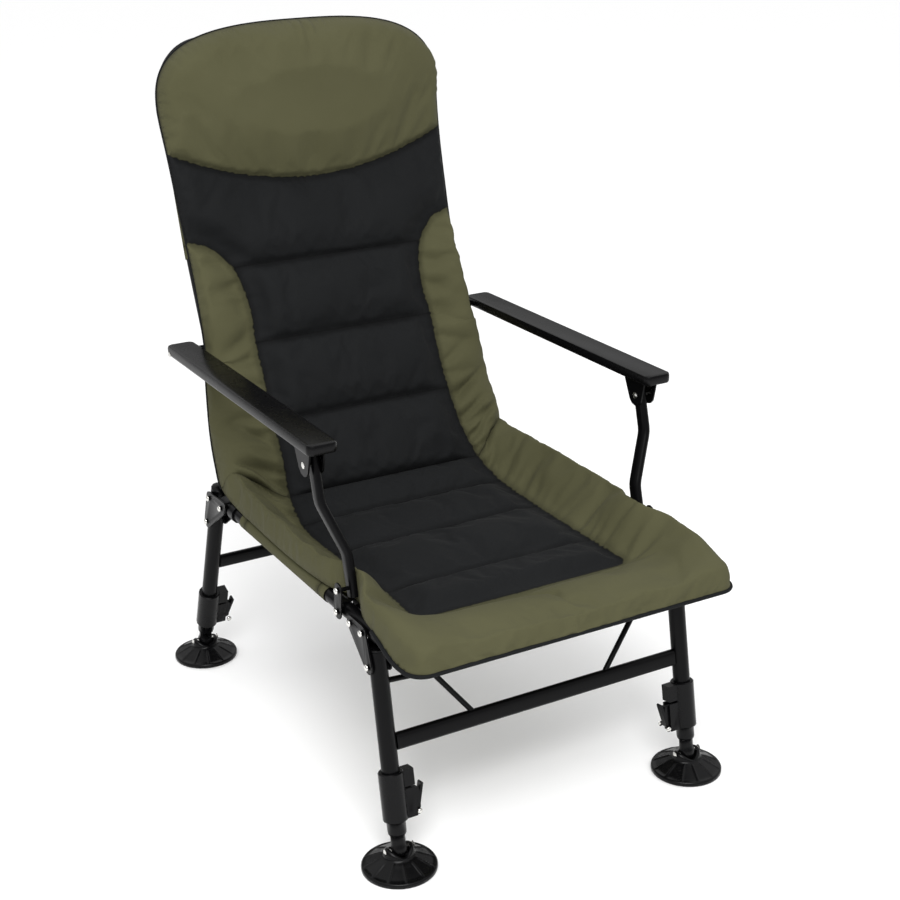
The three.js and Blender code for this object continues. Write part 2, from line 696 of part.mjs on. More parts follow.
function lock_collar(line, side) {
  const bottom = line.ball + collar_bottom_rise;
  const top = bottom + collar_length;
  const shelf = bottom + outer_leg_cover - gap;
  const tube_bore = leg_tube_radius + gap;
  const inner_bore = inner_tube_diameter / 2 + running_gap;
  const sleeve = turned([
    [inner_bore, bottom], [collar_radius - tube_wall, bottom], [collar_radius, bottom + tube_wall],
    [collar_radius, top - tube_wall], [collar_radius - tube_wall, top], [tube_bore, top], [tube_bore, shelf],
    [inner_bore, shelf], [inner_bore, bottom],
  ], collar_sides);
  const inner_x = -(collar_radius - plate_thickness);
  const outer_x = -(collar_radius + collar_lug_reach);
  const lug = block([outer_x, -collar_half_width, top - tube_wall - collar_lug_height],
    [inner_x, collar_half_width, top - tube_wall]);
  const cheeks = [-collar_half_width, collar_half_width - cheek_thickness].map((y) => block(
    [outer_x, y, bottom], [inner_x, y + cheek_thickness, bottom + cheek_height]));
  const slot = pin_bar(line, -lever_pin_x, lever_nose_radius + running_gap,
    collar_half_width - cheek_thickness, 2 * rivet_sides);
  const pin = rivet(-collar_half_width, collar_half_width, 0, 0, lever_pin_radius, lever_pin_head_radius)
    .rotateZ(Math.PI / 2).translate(-lever_pin_x, 0, bottom + lever_pin_rise);
  const body = cut(join([sleeve, lug, ...cheeks]), [slot]);
  const collar = join([body, pin]);
  if (side < 0) collar.rotateZ(Math.PI);
  return on_leg(line, side * rail_half_spacing, collar);
}

// Cam lever: a bar between the cheeks with a round nose at the pin, and a finger tab along its outer face
const lever_corner_radius = 3;
const lever_tab_radius = 2;
const lever_toe_rise = 5;
const lever_thickness = 2 * (collar_half_width - cheek_thickness - running_gap);
const lever_reach = 20;
const lever_tab_reach = 27;

function cam_lever(line, side) {
  const bottom = line.ball + collar_bottom_rise;
  const pin_z = bottom + lever_pin_rise;
  const outer_x = collar_radius + lever_reach - lever_corner_radius;
  const top_z = bottom + cheek_height - 2 * lever_corner_radius;
  const inner_x = collar_radius + running_gap + lever_corner_radius;
  const heel_z = pin_z - lever_nose_radius + lever_corner_radius;
  const toe_z = pin_z + lever_toe_rise;
  const nose = belt_shape([[-lever_pin_x, pin_z, lever_nose_radius]]);
  const body = belt_shape([
    [-inner_x, heel_z, lever_corner_radius], [-outer_x, toe_z, lever_corner_radius],
    [-outer_x, top_z, lever_corner_radius], [-inner_x, top_z, lever_corner_radius],
  ]);
  const tab_x = collar_radius + lever_tab_reach - lever_tab_radius;
  const tab = belt_shape([
    [-outer_x, toe_z, lever_tab_radius], [-tab_x, bottom + cheek_height, lever_tab_radius],
  ]);
  const upright = (shape) => new THREE.ExtrudeGeometry(shape, { depth: lever_thickness, bevelEnabled: false })
    .rotateX(Math.PI / 2).translate(0, lever_thickness / 2, 0);
  const bore = pin_bar(line, -lever_pin_x, lever_pin_radius + gap, 2 * collar_half_width, rivet_sides);
  const lever = cut(join([nose, body, tab].map(upright)), [bore]);
  if (side < 0) lever.rotateZ(Math.PI);
  return on_leg(line, side * rail_half_spacing, lever);
}

// Inner leg: a tube with a moulded fitting, a neck and a ball at its lower end
const neck_radius = 9;
const inner_tube_share = 0.6;
const foot_pin_radius = 2.25;

function inner_leg(line, side) {
  const tube_radius = inner_tube_diameter / 2;
  const bore_radius = tube_radius - tube_wall;
  const fitting_radius = tube_radius + 2 * tube_wall;
  const shoulder = line.ball + collar_bottom_rise - fitting_gap;
  const neck_top = shoulder - fitting_length;
  const tube_top = shoulder - line.ball * inner_tube_share;
  const ball_degrees = [180, 145, 115, 85, 50];
  const ball_points = ball_degrees.map(THREE.MathUtils.degToRad).map((angle) => [
    ball_radius * Math.sin(angle), line.ball + ball_radius * Math.cos(angle)]);
  const form = turned([
    ...ball_points, [neck_radius, neck_top], [fitting_radius - tube_wall, neck_top + tube_wall],
    [fitting_radius, neck_top + fitting_length / 3], [fitting_radius, shoulder], [tube_radius, shoulder],
    [tube_radius, tube_top], [bore_radius, tube_top], [bore_radius, shoulder], [0, shoulder],
  ], tube_sides);
  const leg = on_leg(line, side * rail_half_spacing, form);
  const bore = cross_bar(-ball_diameter, ball_diameter, foot_y_of(line), ball_height,
    foot_pin_radius + running_gap, rivet_sides).translate(side * rail_half_spacing, 0, 0);
  return cut(leg, [bore]);
}

function foot_y_of(line) {
  return line.y - line.ball * Math.sin(line.angle);
}

// Mud foot: a twelve-sided dish with a hub round the ball and a notch at each corner, hollow under its middle
const foot_sides = 12;
const foot_rim_height = 5;
const foot_rim_bevel = 1.5;
const hub_radius = 21.5;
const hub_base_z = 20;
const hub_top_z = 34;
const foot_hollow_radius = 30;
const foot_hollow_height = 10;
const foot_notch_width = 4;
const foot_notch_depth = 3;

function mud_foot(line, side) {
  const socket_radius = (ball_radius + gap) / Math.cos(Math.PI / foot_sides);
  const floor_angle = Math.acos((ball_height - foot_hollow_height) / socket_radius / 2);
  const floor_radius = socket_radius * Math.sin(floor_angle);
  const socket_degrees = [160, 135, 110, 90, 84];
  const socket = socket_degrees.map(THREE.MathUtils.degToRad).map((angle) => [
    socket_radius * Math.sin(angle), ball_height + socket_radius * Math.cos(angle)]);
  const outline = [
    [foot_hollow_radius, 0], [foot_radius, 0], [foot_radius, foot_rim_height],
    [foot_radius - foot_rim_bevel, foot_rim_height + foot_rim_bevel], [hub_radius, hub_base_z],
    [hub_radius, hub_top_z - tube_wall], [hub_radius - tube_wall, hub_top_z],
    [hub_radius - 2 * tube_wall, hub_top_z],
    ...socket.reverse(), [0, ball_height - socket_radius], [0, foot_hollow_height],
    [floor_radius, foot_hollow_height], [foot_hollow_radius - plate_thickness, foot_hollow_height],
    [foot_hollow_radius, 0],
  ];
  const dish = turned(outline, foot_sides).rotateZ(Math.PI / foot_sides);
  const bore = cross_bar(-foot_radius, foot_radius, 0, ball_height, foot_pin_radius + gap, rivet_sides);
  const notches = ring_points(1, foot_sides).map((_, i) => block(
    [foot_radius - foot_notch_depth, -foot_notch_width / 2, -cut_overrun],
    [foot_radius + cut_overrun, foot_notch_width / 2, foot_rim_height + foot_rim_bevel + cut_overrun])
    .rotateZ(((2 * i + 1) * Math.PI) / foot_sides));
  return cut(dish, [bore, ...notches]).translate(side * rail_half_spacing, foot_y_of(line), 0);
}

function foot_pin(line, side) {
  const reach = hub_radius + gap;
  return rivet(-reach, reach, foot_y_of(line), ball_height, foot_pin_radius, 2 * foot_pin_radius)
    .translate(side * rail_half_spacing, 0, 0);
}

// Front stays: rods from the crossbar up to the legs, bent outward at their upper ends
const stay_foot_half_spacing = 106;
const stay_slope = 1.155;
const stay_end_rise = -25;
const stay_bend_rise = -29;
const stay_bend_radius = 20;

function front_stay(side) {
  const bar_z = (front_crossbar_z - front_leg.z) / Math.cos(front_leg.angle);
  const foot_z = bar_z + crossbar_height / 2 + gap;
  const bend_x = stay_foot_half_spacing + (stay_bend_rise - foot_z) / stay_slope;
  const rod = bent_tube([
    point(side * stay_foot_half_spacing, 0, foot_z - stay_rod_diameter),
    point(side * bend_x, 0, stay_bend_rise), point(side * crossbar_reach, 0, stay_end_rise),
  ], [stay_bend_radius], stay_rod_diameter / 2, stay_rod_diameter / 2);
  const below = block([-rail_half_spacing, -crossbar_height, foot_z - 2 * crossbar_height],
    [rail_half_spacing, crossbar_height, foot_z]);
  return on_leg(front_leg, 0, cut(rod, [below]));
}

// Pressed brackets of the rear legs: they turn on the rail and rest on its top
const rear_leg_top = 65;
const rear_rivet_inset = 16;
const rear_upper_rivet = rear_leg_top - rear_rivet_inset;

function rear_bracket(side) {
  const upper_y = rear_apex_y - rear_upper_rivet * Math.sin(rear_leg.angle);
  const upper_z = rear_apex_z + rear_upper_rivet * Math.cos(rear_leg.angle);
  const stop_y = rear_pivot_y - bracket_rim - plate_thickness;
  const stop_z = rail_height + rail_radius + gap;
  const rivets = [[rear_pivot_y, rail_height], [upper_y, upper_z], [rear_apex_y, rear_apex_z]];
  const outline = belt_shape([
    ...rivets.map(([y, z]) => [y, z, bracket_rim]),
    [stop_y, stop_z - plate_thickness, plate_thickness * 2],
  ]);
  const web = block(
    [side * rail_half_spacing - plate_offset - plate_thickness / 2, stop_y - plate_thickness, stop_z],
    [side * rail_half_spacing + plate_offset + plate_thickness / 2, stop_y + plate_thickness,
      stop_z + plate_thickness]);
  return join([...plate_pair(side, outline, rivets), web]);
}

add_mesh(chair, 'front_crossbar', crossbar(front_leg, front_crossbar_z), powder_coat);
add_mesh(chair, 'rear_crossbar', crossbar(rear_leg, rear_crossbar_z), powder_coat);
const leg_sets = [
  ['front', front_leg, leg_top_overhang, [0]],
  ['rear', rear_leg, rear_leg_top, [0, rear_upper_rivet]],
];
for (const [end, line, top, holes] of leg_sets) {
  for (const [name, side] of sides) {
    add_mesh(chair, `${end}_leg_${name}`, outer_leg(line, side, top, holes), powder_coat);
    add_mesh(chair, `${end}_leg_cap_${name}`, leg_cap(line, side, top), black_plastic);
    add_mesh(chair, `${end}_collar_${name}`, lock_collar(line, side), black_plastic);
    add_mesh(chair, `${end}_lever_${name}`, cam_lever(line, side), black_plastic);
    add_mesh(chair, `${end}_inner_leg_${name}`, inner_leg(line, side), black_plastic);
    add_mesh(chair, `${end}_foot_${name}`, mud_foot(line, side), black_plastic);
    add_mesh(chair, `${end}_foot_pin_${name}`, foot_pin(line, side), nickel);
  }
}
for (const [name, side] of sides) {
  add_mesh(chair, `front_stay_${name}`, front_stay(side), powder_coat);
  add_mesh(chair, `rear_leg_bracket_${name}`, rear_bracket(side), powder_coat);
}

// Seat sling: cloth sleeves on the rails and on the front tube, with a sheet that sags between them
const sleeve_clearance = gap;
const sleeve_front_inset = 204;
const sleeve_rear_inset = 12;
const sleeve_front_y = front_tube_y + sleeve_front_inset;
const sleeve_rear_y = rear_cross_tube_y - sleeve_rear_inset;
const sling_inset = 15;
const sling_front_inset = 29;
const front_sleeve_inset = 75;
const sling_half_width = rail_half_spacing - sling_inset;
const sling_front_half_width = rail_half_spacing - sling_front_inset;
const front_sleeve_half_width = rail_half_spacing - front_sleeve_inset;
const sling_top_z = rail_height + rail_radius + sleeve_clearance + fabric_thickness;
const sling_column_count = 14;

function even_shares(count) {
  return Array.from({ length: count + 1 }, (_, i) => (2 * i) / count - 1);
}

function sling_z(x, y) {
  const depth = seat_sag * smooth_step((y - front_tube_y) / (sleeve_front_y - front_tube_y));
  return sling_top_z - depth * Math.max(0, 1 - (x / sling_half_width) ** 2);
}

function sling_sheet(half_width, rows) {
  const sheet = (offset) => (u, y) => [u * half_width, y, sling_z(u * half_width, y) - offset];
  return padded(even_shares(sling_column_count), rows, sheet(0), sheet(fabric_thickness));
}

function seat_sling() {
  const inner_radius = rail_radius + sleeve_clearance;
  const sleeve = ring_shape(inner_radius + fabric_thickness, inner_radius, tube_sides);
  const side_sleeves = sides.map(([, side]) => new THREE.ExtrudeGeometry(sleeve,
    { depth: sleeve_rear_y - sleeve_front_y, bevelEnabled: false })
    .rotateX(Math.PI / 2).translate(side * rail_half_spacing, sleeve_rear_y, rail_height));
  const front_sleeve = plate(sleeve, -front_sleeve_half_width, front_sleeve_half_width)
    .translate(0, front_tube_y, rail_height);
  const front_rows_shares = [0, 0.12, 0.24, 0.37, 0.5, 0.63, 0.76, 0.88, 1];
  const overlap = fabric_thickness;
  const front_reach = sleeve_front_y + overlap - front_tube_y;
  const front_rows = front_rows_shares.map((share) => front_tube_y + share * front_reach);
  const sheets = [
    sling_sheet(sling_front_half_width, front_rows),
    sling_sheet(rail_half_spacing, [sleeve_front_y, sleeve_rear_y]),
  ];
  return join([...side_sleeves, front_sleeve, ...sheets]);
}
add_mesh(chair, 'seat_sling', seat_sling(), olive_fabric);

// Back sling: cloth sleeves on the back tubes, a sheet that sags between them and a cover behind the head
const back_sling_shares = [0.3169, 0.8251];
const [back_sling_low_z, back_sling_top_z] = back_sling_shares.map(
  (share) => crease_z + share * (mattress_top_z - crease_z));
const back_sling_sag = 16;
const back_sheet_half_width = back_half_spacing - back_tube_radius;
const cover_column_shares = [-1, -0.97, -0.9, -0.78, -0.5, 0, 0.5, 0.78, 0.9, 0.97, 1];
const cover_row_shares = [0, 0.5, 1];

function back_sling_sag_at(x) {
  return back_sling_sag * Math.max(0, 1 - (x / back_sheet_half_width) ** 2);
}

// The stretch of the back tubes' line between two heights, at a given X
function back_path(x, z_low, z_high) {
  const middle = back_line.filter(([, z]) => z > z_low && z < z_high);
  const corners = [[back_tube_y(z_low), z_low], ...middle, [back_tube_y(z_high), z_high]];
  return new BentPath(corners.map(([y, z]) => point(x, y, z)), middle.map(() => back_bend_radius));
}

// A sheet along a path, offset forward from it by an amount that depends on X
function sheet_along(path, half_width, offset_at, thickness) {
  const rows = path.stations.map((_, i) => i);
  const side_of = (extra) => (u, i) => {
    const at = path.stations[i];
    const heading = path.tangents[i];
    const forward = offset_at(u * half_width) - extra;
    return [u * half_width, at.y - heading.z * forward, at.z + heading.y * forward];
  };
  return padded(even_shares(sling_column_count), rows, side_of(0), side_of(thickness));
}

function head_top_z(share) {
  return head_widest_z + (mattress_top_z - head_widest_z)
    * (1 - Math.abs(share) ** head_corner_power) ** (1 / head_corner_power);
}

function back_sling() {
  const inner_radius = back_tube_radius + gap;
  const outer_radius = inner_radius + fabric_thickness;
  const sleeves = sides.map(([, side]) => swept(ring_shape(outer_radius, inner_radius, tube_sides),
    back_path(side * back_half_spacing, back_sling_low_z, back_sling_top_z)));
  const sheet = sheet_along(back_path(0, back_sling_low_z, back_sling_top_z), back_half_spacing,
    (x) => outer_radius - back_sling_sag_at(x), fabric_thickness);
  const cover_half_width = head_half_width - 2 * fabric_thickness;
  const cover_side = (offset) => (u, share) => {
    const low_z = back_sling_top_z - outer_radius;
    const z = low_z + share * (head_top_z(u) - 2 * fabric_thickness - low_z);
    return [u * cover_half_width, back_tube_y(z) + offset, z];
  };
  const cover = padded(cover_column_shares, cover_row_shares, cover_side(inner_radius + gap),
    cover_side(inner_radius + gap + fabric_thickness));
  return join([...sleeves, sheet, cover]);
}

// Mattress: the plane of its seams, in height and depth, and the padding before and behind that plane
const surface_base_inset = 189.3;
const surface_base_drop = 21;
const surface_base_y = hinge_y - surface_base_inset;
const surface_base_z = crease_z - surface_base_drop;
const surface_slope = 1.1205;
const surface_bend_radius = 518.1;
const seam_depth = 14;
const back_seam_shares = [0.1405, 0.2915, 0.4589, 0.6398, 0.719, 0.8161];
const [lower_seam_z, back_foot_z, upper_seam_z, head_seam_low_z, head_seam_end_z, head_widest_z] =
  back_seam_shares.map((share) => crease_z + share * (mattress_top_z - crease_z));
const seat_half_width = rail_half_spacing + mattress_side_overhang;
const half_width_shares = [0.992, 0.948, 0.924, 0.976];
const [crease_half_width, back_foot_half_width, waist_half_width, head_half_width] =
  half_width_shares.map((share) => share * seat_half_width);
const seat_notch_half_width = plate_inner - plate_thickness - rivet_head_height - gap;
const head_corner_power = 2.8;
const padding_behind = 40;
const least_padding = 8;
const edge_share = 0.84;
const edge_floor_share = 0.2;
const seam_spread = 32;
const bolster_seam_share = 0.6;
const bolster_seam_half_spacing = bolster_seam_share * seat_half_width;
const panel_floor_share = 0.3;
const mattress_gap = 0.6;
const pad_column_shares = [
  -1, -0.95, -0.86, -0.72, -0.6, -0.52, -0.3, 0, 0.3, 0.52, 0.6, 0.72, 0.86, 0.95, 1];

function seam_plane_y(z) {
  const rise = z - surface_base_z;
  return surface_base_y + surface_slope * rise - (rise * rise) / (2 * surface_bend_radius);
}

function seam_plane_slope(z) {
  return surface_slope - (z - surface_base_z) / surface_bend_radius;
}

// Rise of the padding away from a seam: a quarter circle over the seam's spread
function swell(distance) {
  const away = Math.min(Math.abs(distance) / seam_spread, 1);
  return Math.sqrt(1 - (1 - away) ** 2);
}

// Fall of the padding towards a side edge
function edge_fall(u) {
  const past = Math.max(0, (Math.abs(u) - edge_share) / (1 - edge_share));
  return edge_floor_share + (1 - edge_floor_share) * Math.sqrt(1 - past * past);
}

// How far the padding reaches behind the seam plane before it meets the back tubes and the sling
function depth_behind(x, z) {
  const slope = seam_plane_slope(z);
  const upright = 1 / Math.hypot(1, slope);
  const [[low_y, low_z], [high_y, high_z]] = back_line.slice(1);
  const tube_slope = (high_y - low_y) / (high_z - low_z);
  const standoff = back_tube_radius + gap + fabric_thickness + 2 * mattress_gap + gap;
  const sag = z > back_sling_low_z + seam_spread && z < back_sling_top_z ? back_sling_sag_at(x) : 0;
  const room = (back_tube_y(z) - standoff + sag - seam_plane_y(z)) / (upright + tube_slope * slope * upright);
  return Math.min(padding_behind, room);
}

// A point of the mattress back, at an X and a height on the seam plane, before or behind that plane
function back_point(x, z, forward) {
  const slope = seam_plane_slope(z);
  const upright = 1 / Math.hypot(1, slope);
  return [x, seam_plane_y(z) - forward * upright, z + forward * slope * upright];
}

function mattress_piece(columns, rows, half_width_at, z_at, bulge_at) {
  const rear = (u, v) => {
    const z = z_at(u, v);
    const x = u * half_width_at(z);
    return back_point(x, z, -depth_behind(x, z));
  };
  const front = (u, v) => {
    const z = z_at(u, v);
    const x = u * half_width_at(z);
    const behind = depth_behind(x, z);
    const full = Math.max(least_padding, behind + seam_depth * bulge_at(x, z));
    return back_point(x, z, full * edge_fall(u) - behind);
  };
  return padded(columns, rows, front, rear);
}

function lerp(a, b, share) {
  return a + (b - a) * share;
}

// Lumbar part, which folds when the back folds: from the crease to the foot of the back pad
const lumbar_rows_shares = [0, 0.06, 0.2, 0.4, 0.48, 0.52, 0.6, 0.8, 0.94, 1];

function lumbar_half_width(z) {
  const share = smooth_step((z - lower_seam_z) / (back_foot_z - lower_seam_z));
  return lerp(crease_half_width, back_foot_half_width, share);
}

function lumbar_pad() {
  const low = crease_z + mattress_gap;
  return mattress_piece(pad_column_shares, lumbar_rows_shares, lumbar_half_width,
    (u, v) => lerp(low, back_foot_z - mattress_gap / 2, v),
    (x, z) => swell(z - low) * swell(z - lower_seam_z) * swell(z - back_foot_z)
      * lerp(panel_floor_share, 1, swell(Math.abs(x) - bolster_seam_half_spacing)));
}

// Back pad: two channels between side bolsters and a plain band under the head seam
const back_rows_shares = [0, 0.04, 0.2, 0.38, 0.44, 0.48, 0.54, 0.7, 0.85, 0.96, 1];

function head_seam_z(x) {
  return head_seam_low_z + (head_seam_end_z - head_seam_low_z) * (x / head_half_width) ** 2;
}

function back_half_width(z) {
  if (z < upper_seam_z) {
    const share = smooth_step((z - back_foot_z) / (upper_seam_z - back_foot_z));
    return lerp(back_foot_half_width, waist_half_width, share);
  }
  return lerp(waist_half_width, head_half_width,
    smooth_step((z - upper_seam_z) / (head_widest_z - upper_seam_z)));
}

function back_pad() {
  const z_at = (u, v) => lerp(back_foot_z + mattress_gap / 2,
    head_seam_z(u * head_half_width) - mattress_gap / 2, v);
  return mattress_piece(pad_column_shares, back_rows_shares, back_half_width, z_at,
    (x, z) => swell(z - back_foot_z) * swell(z - upper_seam_z) * swell(z - head_seam_z(x))
      * lerp(panel_floor_share, 1, swell(Math.abs(x) - bolster_seam_half_spacing)));
}

// Head pad: plain, with a round top
const head_rows_shares = [0, 0.06, 0.22, 0.5, 0.75, 0.92, 1];

function head_pad() {
  const z_at = (u, v) => lerp(head_seam_z(u * head_half_width) + mattress_gap / 2, head_top_z(u), v);
  return mattress_piece(pad_column_shares, head_rows_shares, back_half_width, z_at,
    (x, z) => swell(z - head_seam_z(x)) * swell(head_top_z(x / head_half_width) - z));
}

// Seat pad: a channelled panel between raised borders, notched beside the arm posts
const seat_rear_margin = 0.8;
const crease_y = seam_plane_y(crease_z);
const seat_rear_y = crease_y - seat_rear_margin;
const seat_row_shares = [0, 0.02, 0.07, 0.14, 0.21, 0.242, 0.275, 0.325, 0.355, 0.425, 0.46, 0.489, 0.52,
  0.61, 0.7, 0.735, 0.77, 0.845, 0.9, 0.935, 0.965, 1];
const seat_rows = seat_row_shares.map((share) => lerp(mattress_front_y, seat_rear_y, share));
const seat_seam_shares = [0.242, 0.489, 0.735, 0.935];
const seat_seams = seat_seam_shares.map((share) => lerp(mattress_front_y, seat_rear_y, share));
const seat_panel_share = 0.648;
const seat_border_share = 0.76;
const seat_panel_half_width = seat_panel_share * seat_half_width;
const seat_border_half_width = seat_border_share * seat_half_width;
const seat_border_rise = 46;
const seat_border_shares = [
  [0, 0.37], [0.125, 0.717], [0.319, 0.804], [0.634, 1], [0.862, 0.935], [1, 0.891]];
const seat_seam_line_shares = [
  [0, 0.065], [0.133, 0.239], [0.242, -0.022], [0.489, -0.087], [0.735, -0.087], [0.935, 0.174], [1, 0.891]];
const seat_corner_radius = 42;
const seat_notch_reach = 45;
const seat_notch_run = 26;
const seat_front_fall = 18;
const seat_front_fall_inset = 17;
const seat_front_fall_run = 20;
const seat_front_round = 30;
const seat_rear_slant = 24;
const channel_crown = 9;
const border_crown = 3;
const sling_slope_share = 8;

// Height of a line over the seat, from shares of the seat's length and of the border's rise over the rails
function along(line_shares, y) {
  const share = (y - mattress_front_y) / (seat_rear_y - mattress_front_y);
  let i = 1;
  while (i < line_shares.length - 1 && share > line_shares[i][0]) i++;
  const [[from, low], [to, high]] = [line_shares[i - 1], line_shares[i]];
  return rail_height + seat_border_rise * lerp(low, high, (share - from) / (to - from));
}

function seat_half_width_at(y) {
  const into_corner = Math.max(0, mattress_front_y + seat_corner_radius - y) / seat_corner_radius;
  const corner = seat_corner_radius * (1 - Math.sqrt(Math.max(0, 1 - into_corner ** 2)));
  const notch = smooth_step((y - post_pivot_y + seat_notch_reach) / seat_notch_run)
    * smooth_step((post_pivot_y + seat_notch_reach - y) / seat_notch_run);
  return lerp(seat_half_width, seat_notch_half_width, notch) - corner;
}

function seat_pad() {
  const bottom_z = (x, y) => {
    const front_fall = seat_front_fall
      * smooth_step((front_tube_y - seat_front_fall_inset - y) / seat_front_fall_run);
    const rear_rise = Math.max(0, along(seat_seam_line_shares, y) - padding_behind - sling_z(x, y));
    const slope_share = Math.min(1, Math.max(0, (y - front_tube_y) / (sleeve_front_y - front_tube_y)));
    const standoff = mattress_gap * (1 + sling_slope_share * slope_share * (1 - slope_share));
    return sling_z(x, y) + standoff - front_fall + (y > seat_seams[2] ? rear_rise : 0);
  };
  const rear = (u, y) => {
    const x = u * seat_half_width_at(y);
    const slant = seat_rear_slant * smooth_step((y - seat_seams[3]) / (crease_y - seat_seams[3]));
    return [x, y + slant, bottom_z(x, y)];
  };
  const front = (u, y) => {
    const x = u * seat_half_width_at(y);
    const border = smooth_step(
      (Math.abs(x) - seat_panel_half_width) / (seat_border_half_width - seat_panel_half_width));
    const channels = seat_seams.reduce((share, seam) => share * swell(y - seam), swell(y - crease_y));
    const panel = along(seat_seam_line_shares, y)
      + channel_crown * channels * swell(Math.abs(x) - seat_panel_half_width);
    const top = lerp(panel, along(seat_border_shares, y) + border_crown * swell(y - crease_y), border);
    const low = bottom_z(x, y);
    const front_past = Math.min(1, Math.max(0, (mattress_front_y - y) / seat_front_round + 1));
    const fall = edge_fall(u) * (edge_floor_share + (1 - edge_floor_share) * Math.sqrt(1 - front_past ** 2));
    return [x, y, low + (top - low) * fall];
  };
  return padded(pad_column_shares, seat_rows, front, rear);
}

add_mesh(chair, 'back_sling', back_sling(), olive_fabric);
add_mesh(chair, 'seat_pad', seat_pad(), olive_fabric);
add_mesh(chair, 'lumbar_pad', lumbar_pad(), olive_fabric);
add_mesh(chair, 'back_pad', back_pad(), black_fabric);
add_mesh(chair, 'head_pad', head_pad(), olive_fabric);

// The chair's box is centred over the origin
const box = new THREE.Box3().setFromObject(chair);
chair.position.y = -(box.min.y + box.max.y) / 2;

export default chair;
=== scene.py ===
import math
import bmesh
import bpy
import numpy as np
from mathutils import Matrix, Vector
from mathutils.geometry import delaunay_2d_cdt
from mathutils.kdtree import KDTree


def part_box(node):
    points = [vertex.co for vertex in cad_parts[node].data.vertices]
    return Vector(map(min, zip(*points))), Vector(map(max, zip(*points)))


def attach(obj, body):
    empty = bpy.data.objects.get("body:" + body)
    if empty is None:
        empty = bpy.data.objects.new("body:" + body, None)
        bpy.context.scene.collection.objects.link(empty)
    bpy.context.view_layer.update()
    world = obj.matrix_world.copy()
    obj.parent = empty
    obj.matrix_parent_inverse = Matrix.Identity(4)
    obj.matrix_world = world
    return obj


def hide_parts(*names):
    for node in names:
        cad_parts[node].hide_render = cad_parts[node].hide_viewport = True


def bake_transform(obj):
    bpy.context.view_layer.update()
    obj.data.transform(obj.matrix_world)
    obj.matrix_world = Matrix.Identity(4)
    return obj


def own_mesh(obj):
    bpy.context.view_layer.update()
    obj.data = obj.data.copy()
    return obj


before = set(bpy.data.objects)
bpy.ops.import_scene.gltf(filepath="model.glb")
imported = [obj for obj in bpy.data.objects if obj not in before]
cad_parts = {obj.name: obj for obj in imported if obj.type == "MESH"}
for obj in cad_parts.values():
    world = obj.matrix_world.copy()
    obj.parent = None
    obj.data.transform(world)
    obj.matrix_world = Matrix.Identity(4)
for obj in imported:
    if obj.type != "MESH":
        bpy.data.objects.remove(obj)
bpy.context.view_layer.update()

# Camera
# A long lens in front of the chair and to its left, 1.3 m above the floor and tipped down at the seat. The turn is
# taken from straight ahead, the tip from level and the lean from upright, all in radians.
eye = Vector((-1.0899, -2.0444, 1.3285))
turn, tip, lean = 0.5083, 0.3657, -0.0161
ahead = Vector((math.sin(turn) * math.cos(tip), math.cos(turn) * math.cos(tip), -math.sin(tip)))
level_right = Vector((math.cos(turn), -math.sin(turn), 0))
level_up = level_right.cross(ahead)
right = level_right * math.cos(lean) + level_up * math.sin(lean)
up = level_up * math.cos(lean) - level_right * math.sin(lean)
camera = bpy.data.objects.new("camera", bpy.data.cameras.new("camera"))
camera.data.lens = 65.29
camera.data.sensor_width = 36
camera.matrix_world = Matrix((
    (right.x, up.x, -ahead.x, eye.x), (right.y, up.y, -ahead.y, eye.y),
    (right.z, up.z, -ahead.z, eye.z), (0, 0, 0, 1)))
bpy.context.collection.objects.link(camera)
bpy.context.scene.camera = camera

# Floor and light
# A plain white studio floor without an edge in view. A broad white ceiling lights it evenly, and one soft lamp at the
# front left gives the cloth its shape and the chair a soft shadow.


def linear(hex_colour):
    parts = [int(hex_colour[i:i + 2], 16) / 255 for i in (0, 2, 4)]
    return tuple(c / 12.92 if c <= 0.04045 else ((c + 0.055) / 1.055) ** 2.4 for c in parts) + (1,)


def add_node(tree, kind, inputs=(), **settings):
    made = tree.nodes.new(kind)
    for key, value in settings.items():
        setattr(made, key, value)
    for key, value in dict(inputs).items():
        if hasattr(value, "is_output"):
            tree.links.new(value, made.inputs[key])
        else:
            made.inputs[key].default_value = value
    return made


def new_material(name):
    material = bpy.data.materials.new(name)
    material.use_nodes = True
    material.node_tree.nodes.clear()
    return material, material.node_tree


floor_paint, tree = new_material("studio_floor_matte")
bsdf = add_node(tree, "ShaderNodeBsdfPrincipled", {"Base Color": linear("FAFAFA"), "Roughness": 0.9})
add_node(tree, "ShaderNodeOutputMaterial", {"Surface": bsdf.outputs[0]})
floor_reach = 60
floor_corners = [(-floor_reach, -floor_reach, 0), (floor_reach, -floor_reach, 0),
                 (floor_reach, floor_reach, 0), (-floor_reach, floor_reach, 0)]
floor_mesh = bpy.data.meshes.new("studio_floor")
floor_mesh.from_pydata(floor_corners, [], [(0, 1, 2, 3)])
floor_mesh.materials.append(floor_paint)
floor = bpy.data.objects.new("studio_floor", floor_mesh)
bpy.context.collection.objects.link(floor)

